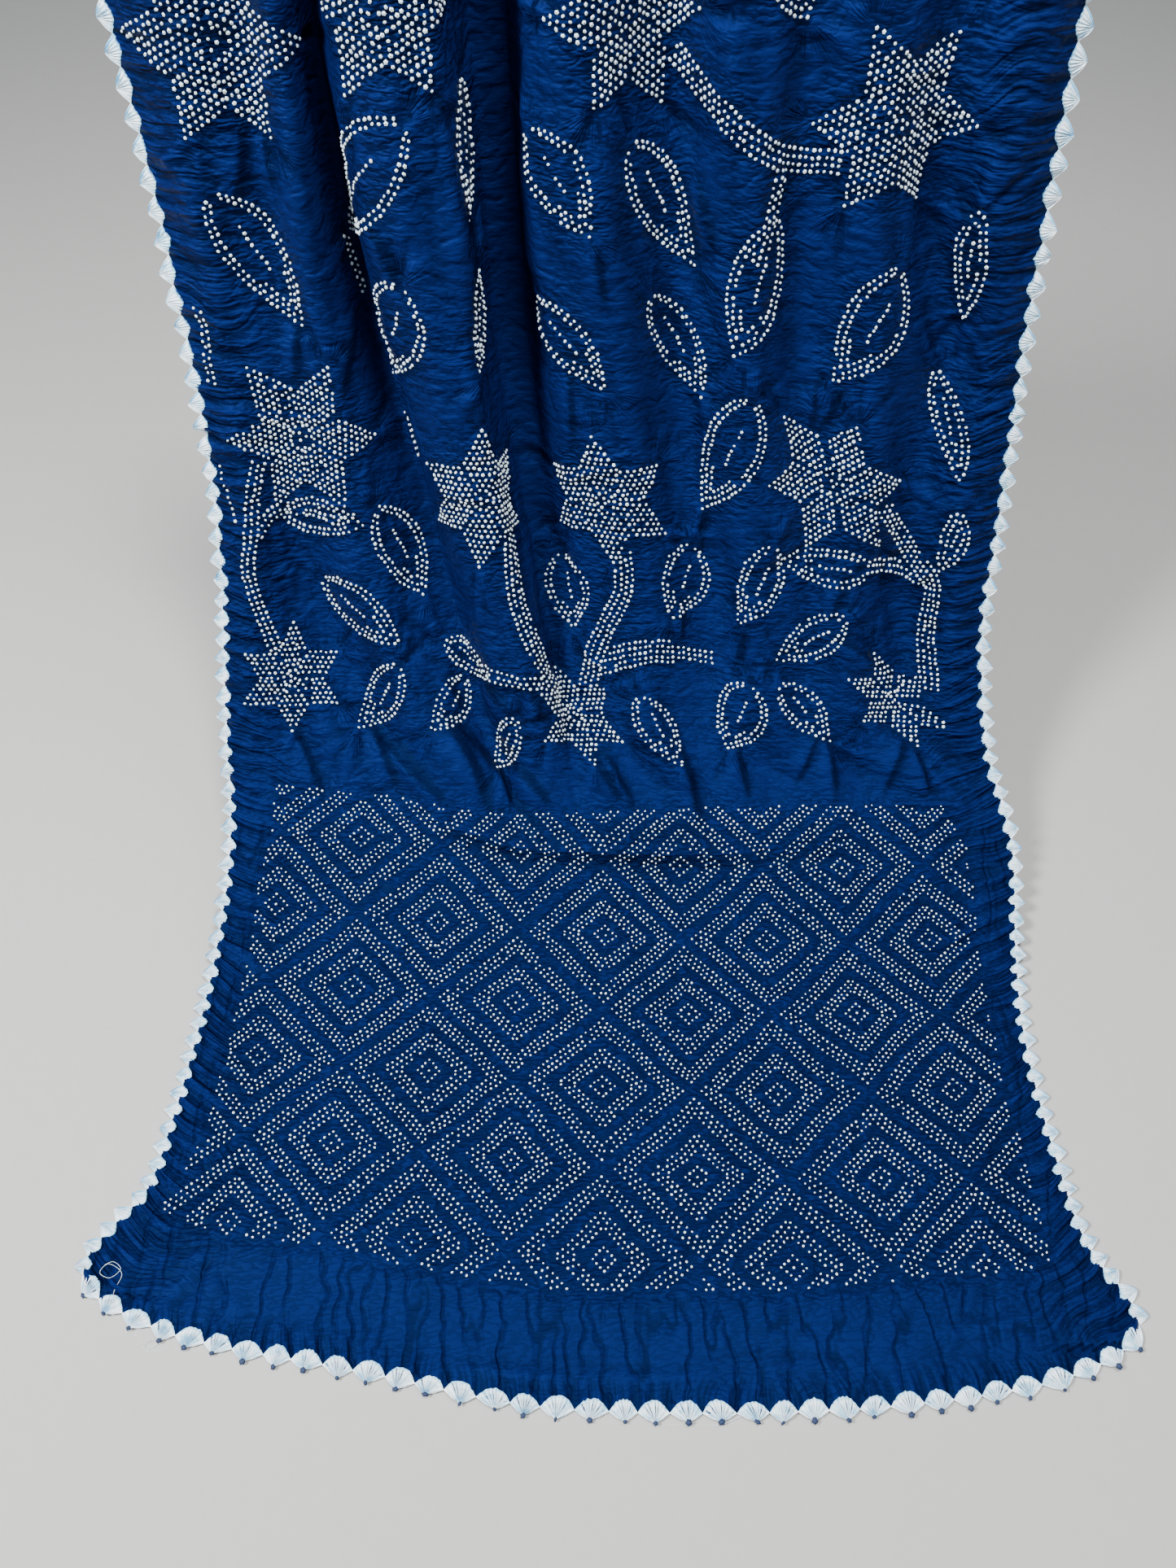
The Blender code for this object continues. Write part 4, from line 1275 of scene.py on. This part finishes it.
def nub_tree():
    """Puts a nub on every point, standing along the point's own direction and turned at random."""
    tree = bpy.data.node_groups.new("tied_nubs", "GeometryNodeTree")
    sockets = (("Geometry", "NodeSocketGeometry"), ("Nub", "NodeSocketObject"), ("Size", "NodeSocketFloat"),
               ("Height", "NodeSocketFloat"), ("Unevenness", "NodeSocketFloat"), ("Seed", "NodeSocketInt"),
               ("Material", "NodeSocketMaterial"))
    for name, kind in sockets:
        tree.interface.new_socket(name, in_out="INPUT", socket_type=kind)
    tree.interface.new_socket("Geometry", in_out="OUTPUT", socket_type="NodeSocketGeometry")
    nodes = Nodes(tree)
    given = nodes.add("NodeGroupInput").outputs
    source = nodes.add("GeometryNodeObjectInfo", None, {"Object": given["Nub"]}).outputs["Geometry"]
    facing = nodes.add("GeometryNodeInputNamedAttribute", {"data_type": "FLOAT_VECTOR"},
                       {"Name": "facing"}).outputs[0]
    upright = nodes.add("FunctionNodeAlignRotationToVector", {"axis": "Z"}, {"Vector": facing}).outputs[0]

    def chance(low, high, step):
        seed = nodes.add("ShaderNodeMath", {"operation": "ADD"}, {0: given["Seed"], 1: float(step)}).outputs[0]
        node = nodes.add("FunctionNodeRandomValue", {"data_type": "FLOAT"})
        nodes.join(node.inputs[2], low)
        nodes.join(node.inputs[3], high)
        nodes.join(node.inputs["Seed"], seed)
        return Number(nodes, node.outputs[1])

    spin = nodes.add("ShaderNodeCombineXYZ", None, {"Z": chance(0.0, 6.283, 1)}).outputs[0]
    turned = nodes.add("FunctionNodeRotateRotation", {"rotation_space": "LOCAL"},
                       {0: upright, 1: nodes.add("FunctionNodeEulerToRotation", None, {0: spin}).outputs[0]}).outputs[0]
    own = nodes.number(nodes.add("GeometryNodeInputNamedAttribute", {"data_type": "FLOAT"},
                                 {"Name": "own_size"}).outputs[0])
    size, uneven = Number(nodes, given["Size"]), Number(nodes, given["Unevenness"])
    half = size * 0.5 * own * (1.0 + uneven * chance(-0.55, 0.45, 2))
    narrow = half * (1.0 - uneven * chance(0.0, 0.75, 3))
    tall = Number(nodes, given["Height"]) * (1.0 + uneven * chance(-0.6, 0.6, 4))
    scale = nodes.add("ShaderNodeCombineXYZ", None, {"X": half, "Y": narrow, "Z": tall}).outputs[0]
    placed = nodes.add("GeometryNodeInstanceOnPoints", None,
                       {"Points": given["Geometry"], "Instance": source, "Rotation": turned, "Scale": scale}).outputs[0]
    toned = nodes.add("GeometryNodeStoreNamedAttribute", {"data_type": "FLOAT", "domain": "INSTANCE"},
                      {"Geometry": placed, "Name": "tone", "Value": chance(0.0, 1.0, 5)}).outputs[0]
    real = nodes.add("GeometryNodeRealizeInstances", None, {"Geometry": toned}).outputs[0]
    done = nodes.add("GeometryNodeSetMaterial", None, {"Geometry": real, "Material": given["Material"]}).outputs[0]
    nodes.join(nodes.add("NodeGroupOutput").inputs["Geometry"], done)
    return tree


def tie_nubs(name, places, facing, sizes, values, material, shape):
    """One mesh with a nub at every place."""
    points = new_mesh(name + "_points", places, [])
    add_values(points.data, "facing", facing, "FLOAT_VECTOR")
    add_values(points.data, "own_size", sizes)
    tree = nub_tree()
    modifier = points.modifiers.new("nubs", "NODES")
    modifier.node_group = tree
    wanted = dict(values, Nub=shape, Material=material)
    for socket in tree.interface.items_tree:
        if socket.in_out == "INPUT" and socket.name in wanted:
            modifier[socket.identifier] = wanted[socket.name]
    depsgraph = bpy.context.evaluated_depsgraph_get()
    mesh = bpy.data.meshes.new_from_object(points.evaluated_get(depsgraph), preserve_all_data_layers=True,
                                           depsgraph=depsgraph)
    if not len(mesh.polygons):
        raise RuntimeError(f"{name}: no nub was made")
    mesh.name = name
    mesh.shade_smooth()
    thing = bpy.data.objects.new(name, mesh)
    bpy.context.scene.collection.objects.link(thing)
    bpy.data.objects.remove(points)
    bpy.data.objects.remove(shape)
    return thing


def belongs(thing):
    """Rides with the cloth, and is listed with the things that lie on it."""
    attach(thing, "root")
    _made.setdefault("on_cloth", []).append(thing)


def scallop_outline(side, pitch, depth, inner, rng):
    """The tie point of one scallop and its inner boundary from notch to notch, sideways and outward."""
    if side == "hem":
        tie = (rng.uniform(-0.22, 0.22), rng.uniform(0.75, 1.0))
        dome = ((0.0, 1.0), (0.28, 0.96), (0.55, 0.76), (0.8, 0.40), (0.94, 0.10), (1.0, 0.0))
        bulge = 0.10
    else:
        lean = rng.uniform(0.10, 0.34)
        tie = (lean if side == "left" else -lean, rng.uniform(1.0, 1.25))
        dome = ((0.0, 1.0), (0.3, 0.86), (0.6, 0.50), (0.85, 0.16), (1.0, 0.0))
        bulge = 0.0
    arc = np.linspace(-1, 1, SCALLOP_POINTS)
    peak = arc + 0.12 * rng.uniform(-1, 1) * (1 - arc ** 2)
    deep = -inner * np.interp(np.abs(peak), *zip(*dome)) * rng.uniform(0.93, 1.07, SCALLOP_POINTS)
    tie = np.array(tie) * [pitch / 2, depth]
    boundary = np.stack([pitch / 2 * arc, deep], axis=1)
    shoulders = (boundary[[0, -1]] + tie) / 2 + [0, bulge * depth]
    boundary = np.concatenate([shoulders[:1], boundary, shoulders[1:]])
    meets = np.clip(1.4 * (1 - np.abs(arc) ** 6), 0, 1)
    return tie, boundary, np.array([0, *meets, 0])


class ClothOperator(bpy.types.Operator):
    """What every step of the cloth shares."""

    bl_options = {"REGISTER", "UNDO"}


class CLOTH_OT_sheet(ClothOperator):
    """Make the sheet of silk with its folds, puckers and wrinkles."""

    bl_idname = "cloth.sheet"
    bl_label = "Silk sheet"

    def execute(self, context):
        cloth = the_cloth()
        rows, columns = cloth.sizes.rows, cloth.sizes.columns
        number = np.arange((rows + 1) * (columns + 1)).reshape(rows + 1, columns + 1)
        faces = np.stack([number[:-1, :-1], number[:-1, 1:], number[1:, 1:], number[1:, :-1]], axis=-1).reshape(-1, 4)
        sheet = new_mesh("silk_sheet", cloth.places, faces, dyed_silk(context.scene.cloth_colours))
        mesh = sheet.data
        # Crest, shade and dotted carry painted highlight and painted shade into the silk's colour.
        for name, values in (("dotted", cloth.dotted), ("crosswise", cloth.crosswise), ("pulled", cloth.pulled),
                             ("crest", cloth.crest), ("near", cloth.near), ("shade", cloth.shade)):
            add_values(mesh, name, values)
        corner = np.empty(len(mesh.loops), np.int32)
        mesh.loops.foreach_get("vertex_index", corner)
        for name, pair in (("flat_cloth", (cloth.width, cloth.along)), ("pull_lines", cloth.pull[2:])):
            layer = mesh.uv_layers.new(name=name)
            flat = np.stack([*pair], axis=-1).reshape(-1, 2)
            layer.data.foreach_set("uv", flat[corner].astype(np.float32).ravel())
        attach(sheet, "root")
        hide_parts("cloth")
        _made["sheet"] = sheet
        return {"FINISHED"}


class CLOTH_OT_dots(ClothOperator):
    """Tie the dots of the flowers and of the panel of diamonds."""

    bl_idname = "cloth.dots"
    bl_label = "Tied dots"

    def execute(self, context):
        cloth = the_cloth()
        sizes = context.scene.cloth_sizes
        silk = tied_silk(context.scene.cloth_colours)
        for name, dots, share, seed in (("flower_dots", cloth.motifs.floral, 1.0, 1),
                                        ("diamond_dots", cloth.motifs.panel, 0.70, 50)):
            row, column = cloth.find(dots[:, 0], dots[:, 1])
            places = cloth.read(cloth.places, row, column)
            facing = unit(cloth.read(cloth.normals, row, column))
            shape = nub("nub", (0.50, 1.0), (0.60, 0.95, 0.04, -0.5), (0.0, 0.45, 1.0))
            values = {"Size": sizes.dot_size * share, "Height": sizes.dot_height * share,
                      "Unevenness": 0.40, "Seed": seed}
            belongs(tie_nubs(name, places, facing, np.ones(len(dots)), values, silk, shape))
        return {"FINISHED"}


class CLOTH_OT_edge(ClothOperator):
    """Pleat the white scallops along both sides and the hem, and knot the ties along the hem."""

    bl_idname = "cloth.edge"
    bl_label = "Scalloped edge"

    def execute(self, context):
        cloth = the_cloth()
        colours = context.scene.cloth_colours
        rng = np.random.default_rng(81)
        places, faces, inner, tint, pleat, knots, knot_facing = [], [], [], [], [], [], []
        for side in ("left", "hem", "right"):
            self.pleat_side(cloth, side, rng, places, faces, inner, tint, pleat, knots, knot_facing)
        edge = new_mesh("scalloped_edge", np.concatenate(places), np.concatenate(faces), edge_silk(colours))
        for name, values in (("inner", inner), ("tint", tint), ("pleat", pleat)):
            add_values(edge.data, name, np.concatenate(values))
        edge.data.set_sharp_from_angle(angle=math.radians(16))
        belongs(edge)
        shape = nub("knot", (0.7, 1.0), (1.0, 0.8, 0.0, -0.8), (0.0, 0.5, 1.0))
        blue = plain_fibre("knotted_thread", (0.004, 0.020, 0.075), 0.7)
        values = {"Size": KNOT_SIZE, "Height": KNOT_HEIGHT, "Unevenness": 0.6, "Seed": 90}
        belongs(tie_nubs("tie_knots", np.array(knots), np.array(knot_facing), np.ones(len(knots)), values,
                         blue, shape))
        return {"FINISHED"}

    def pleat_side(self, cloth, side, rng, places, faces, inner, tint, pleat, knots, knot_facing):
        """Adds one side's scallops, each a thin closed fan of pleats from its tie point."""
        cells = cloth.edges()[side]
        notches, reach = cloth.notches(side)
        flat = np.stack([cloth.across, cloth.along], axis=-1)[cells[:, 0], cells[:, 1]]
        heading = unit(np.gradient(flat, axis=0))
        depth = cloth.sizes.scallop_depth
        steps = PLEAT_STEPS
        for start, end in zip(notches, notches[1:]):
            pitch = end - start
            middle = (start + end) / 2
            own_inner = (HEM_REACH_IN if side == "hem" else SIDE_REACH_IN) * rng.uniform(0.88, 1.12)
            tie, outline, meets = scallop_outline(side, pitch * 1.01, depth, own_inner, rng)
            count = len(outline)
            share = np.linspace(0, 1, steps + 1) ** 0.9
            local = tie + share[:, None, None] * (outline - tie)
            fold = np.where(np.arange(count) % 2, 1.0, -1.0) * rng.uniform(0.5, 1.2, count)
            fold[[0, -1]] *= 0.3
            fold_height = 0.0019 if side == "hem" else 0.0012
            height = fold_height * fold[None] * np.sin(np.pi * np.clip(share, 0.08, 0.95))[:, None]
            height = height + 0.0006 * np.sin(np.pi * share)[:, None]
            at = middle + local[..., 0]
            outward = local[..., 1]
            row = np.interp(at, reach, cells[:, 0])
            column = np.interp(at, reach, cells[:, 1])
            base = np.stack([np.interp(at, reach, flat[:, axis]) for axis in (0, 1)], axis=-1)
            run = unit(np.stack([np.interp(at, reach, heading[:, axis]) for axis in (0, 1)], axis=-1))
            away = np.stack([run[..., 1], -run[..., 0]], axis=-1)
            plan = base + outward[..., None] * away
            smooth = drape_points(plan[..., 0], plan[..., 1])
            facing = unit(cloth.read(cloth.smooth_normals, row, column))
            inset_row, inset_column = self.inset(cloth, side, row, column, np.maximum(-outward, 0))
            relief = cloth.read(cloth.relief, inset_row, inset_column)
            lift = SHEET_LIFT + relief
            front = smooth + (lift + height + EDGE_HALF)[..., None] * facing
            back = smooth + (lift + height - EDGE_HALF)[..., None] * facing
            front[..., 2] = np.maximum(front[..., 2], EDGE_FRONT_CLEARANCE)
            back[..., 2] = np.maximum(back[..., 2], EDGE_BACK_CLEARANCE)
            self.close_fan(front, back, places, faces)
            both = np.tile((share[:, None] ** 2.2 * meets[None])[1:].ravel(), 2)
            inner.append(np.concatenate([[0, 0], both]))
            stained = np.zeros(count)
            if side != "hem":
                upper, way = (0, 1) if side == "left" else (count - 1, -1)
                stained[[upper, upper + way, upper + 2 * way, upper + 3 * way]] = 1.0, 1.0, 0.8, 0.3
                stained *= rng.uniform(0.5, 1.2)
            near_tie = (rng.uniform(0.1, 0.9) * (1 - share[1:, None]) ** 1.5
                        + stained[None] * (1 - 0.2 * share[1:, None]))
            tint.append(np.concatenate([[rng.random()] * 2, np.tile(near_tie.ravel(), 2)]))
            # The troughs of the pleats, which the edge's colour makes darker blue: partly dye, partly painted shade.
            low = np.clip(-fold, 0, 1)[None] * np.ones((steps, 1))
            pleat.append(np.concatenate([[0, 0], np.tile(low.ravel(), 2)]))
            if side == "hem":
                knots.append(front[0, 0])
                knot_facing.append(facing[0, 0])

    def inset(self, cloth, side, row, column, gap):
        """Row and column of places that lie a gap inside the edge."""
        if side == "hem":
            return row + gap / CLOTH_LENGTH * cloth.sizes.rows, column
        way = 1 if side == "left" else -1
        return row, column + way * gap / cloth.row_width.mean() * cloth.sizes.columns

    def close_fan(self, front, back, places, faces):
        """Joins the two faces of a scallop round its outline."""
        first = sum(len(part) for part in places)
        rings, count = front.shape[0] - 1, front.shape[1]
        places.append(np.concatenate([front[0, :1], back[0, :1], front[1:].reshape(-1, 3), back[1:].reshape(-1, 3)]))

        def at(layer, ring, spoke):
            return first + 2 + (layer * rings + ring - 1) * count + spoke

        made = []
        for spoke in range(count - 1):
            made.append((first, at(0, 1, spoke), at(0, 1, spoke + 1)))
            made.append((first + 1, at(1, 1, spoke + 1), at(1, 1, spoke)))
            for ring in range(1, rings):
                a, b = at(0, ring, spoke), at(0, ring, spoke + 1)
                c, d = at(0, ring + 1, spoke + 1), at(0, ring + 1, spoke)
                made += [(a, d, c), (a, c, b)]
                a, b = at(1, ring, spoke), at(1, ring, spoke + 1)
                c, d = at(1, ring + 1, spoke + 1), at(1, ring + 1, spoke)
                made += [(a, c, d), (a, b, c)]
            made += [(at(0, rings, spoke), at(1, rings, spoke), at(1, rings, spoke + 1)),
                     (at(0, rings, spoke), at(1, rings, spoke + 1), at(0, rings, spoke + 1))]
        for spoke, way in ((0, 1), (count - 1, -1)):
            ends = [(first, first + 1)] + [(at(0, ring, spoke), at(1, ring, spoke)) for ring in range(1, rings + 1)]
            for (a, b), (d, c) in zip(ends, ends[1:]):
                made += [(a, b, c), (a, c, d)] if way > 0 else [(a, c, b), (a, d, c)]
        faces.append(np.array(made))


class CLOTH_OT_threads(ClothOperator):
    """Lay the loose tying threads at the left corner and by the hem."""

    bl_idname = "cloth.threads"
    bl_label = "Loose threads"

    def execute(self, context):
        radius = context.scene.cloth_sizes.thread_width / 2
        places, faces = [], []
        sides = THREAD_SIDES
        corners = np.arange(sides) * 2 * np.pi / sides
        for name in dict.fromkeys(point.thread for point in THREADS):
            line = smooth_curve([point[1:] for point in THREADS if point.thread == name])
            middle = drape_points(line[:, 0], line[:, 1]) + line[:, 2:] * [0, 0, 1]
            ahead = unit(np.gradient(middle, axis=0))
            side = unit(np.cross(ahead, [0, 0, 1]))
            over = np.cross(side, ahead)
            first = sum(len(part) for part in places)
            tube = (middle[:, None] + radius * (np.cos(corners)[None, :, None] * side[:, None]
                                                + np.sin(corners)[None, :, None] * over[:, None]))
            places.append(tube.reshape(-1, 3))
            for step in range(len(line) - 1):
                for corner in range(sides):
                    a, b = first + sides * step + corner, first + sides * step + (corner + 1) % sides
                    faces.append((a, b, b + sides, a + sides))
        threads = new_mesh("loose_threads", np.concatenate(places), faces,
                           plain_fibre("undyed_thread", context.scene.cloth_colours.undyed, 0.7))
        belongs(threads)
        return {"FINISHED"}


class CLOTH_OT_stage(ClothOperator):
    """Set up the floor, the camera and the lights."""

    bl_idname = "cloth.stage"
    bl_label = "Floor, camera and lights"

    def execute(self, context):
        far = FLOOR_HALF
        floor = new_mesh("floor", [(-far, -far, 0), (far, -far, 0), (far, far, 0), (-far, far, 0)], [(0, 1, 2, 3)])
        material, nodes, shader = new_material("pale_floor")
        place = nodes.add("ShaderNodeTexCoord").outputs["Object"]
        speck = nodes.noise(place, 60.0, 3.0, 0.6)
        pale = context.scene.cloth_colours.floor
        darker = rgba([0.94 * part for part in pale])
        nodes.join(shader.inputs["Base Color"], nodes.mix(speck, darker, rgba(pale)))
        shader.inputs["Roughness"].default_value = 0.8
        floor.data.materials.append(material)
        data = bpy.data.cameras.new("camera")
        data.lens = CAMERA_LENS
        data.sensor_width = CAMERA_SENSOR
        data.sensor_fit = "AUTO"
        camera = bpy.data.objects.new("camera", data)
        camera.location = CAMERA_PLACE
        camera.rotation_euler = (CAMERA_TURN, 0, 0)
        context.scene.collection.objects.link(camera)
        context.scene.camera = camera
        self.light(context, "key", (-1.6, -0.6, 2.3), 0.7, 165, (0.97, 0.99, 1.0))
        self.light(context, "fill", (1.9, -0.9, 1.8), 1.6, 26, (0.95, 0.97, 1.0))
        self.light(context, "top", (0.35, -0.15, 2.9), 0.7, 110, (1.0, 1.0, 1.0))
        world = bpy.data.worlds.new("soft_room")
        world.use_nodes = True
        background = world.node_tree.nodes["Background"]
        background.inputs["Color"].default_value = (0.85, 0.90, 1.0, 1)
        background.inputs["Strength"].default_value = 0.40
        context.scene.world = world
        return {"FINISHED"}

    def light(self, context, name, place, size, power, colour):
        data = bpy.data.lights.new(name, "AREA")
        data.shape = "DISK"
        data.size = size
        data.energy = power
        data.color = colour
        lamp = bpy.data.objects.new(name, data)
        lamp.location = place
        aim = np.array(LIGHTS_AIM) - np.array(place)
        flat = math.hypot(aim[0], aim[1])
        lamp.rotation_euler = (math.atan2(flat, -aim[2]), 0, math.atan2(aim[1], aim[0]) - math.pi / 2)
        context.scene.collection.objects.link(lamp)


class CLOTH_PT_panel(bpy.types.Panel):
    """The steps that build the cloth, with their sizes and colours."""

    bl_label = "Bandhani cloth"
    bl_idname = "CLOTH_PT_panel"
    bl_space_type = "VIEW_3D"
    bl_region_type = "UI"
    bl_category = "Cloth"

    def draw(self, context):
        for step in STEPS:
            self.layout.operator(step.bl_idname)
        for group in (context.scene.cloth_sizes, context.scene.cloth_colours):
            for name in group.__annotations__:
                self.layout.prop(group, name)


STEPS = (CLOTH_OT_sheet, CLOTH_OT_dots, CLOTH_OT_edge, CLOTH_OT_threads, CLOTH_OT_stage)
CLASSES = (ClothSizes, ClothColours, *STEPS, CLOTH_PT_panel)


def register():
    for kind in CLASSES:
        bpy.utils.register_class(kind)
    bpy.types.Scene.cloth_sizes = bpy.props.PointerProperty(type=ClothSizes)
    bpy.types.Scene.cloth_colours = bpy.props.PointerProperty(type=ClothColours)


def unregister():
    del bpy.types.Scene.cloth_sizes
    del bpy.types.Scene.cloth_colours
    for kind in reversed(CLASSES):
        bpy.utils.unregister_class(kind)


def main():
    register()
    for step in STEPS:
        group, name = step.bl_idname.split(".")
        getattr(getattr(bpy.ops, group), name)()


if __name__ == "__main__":
    main()
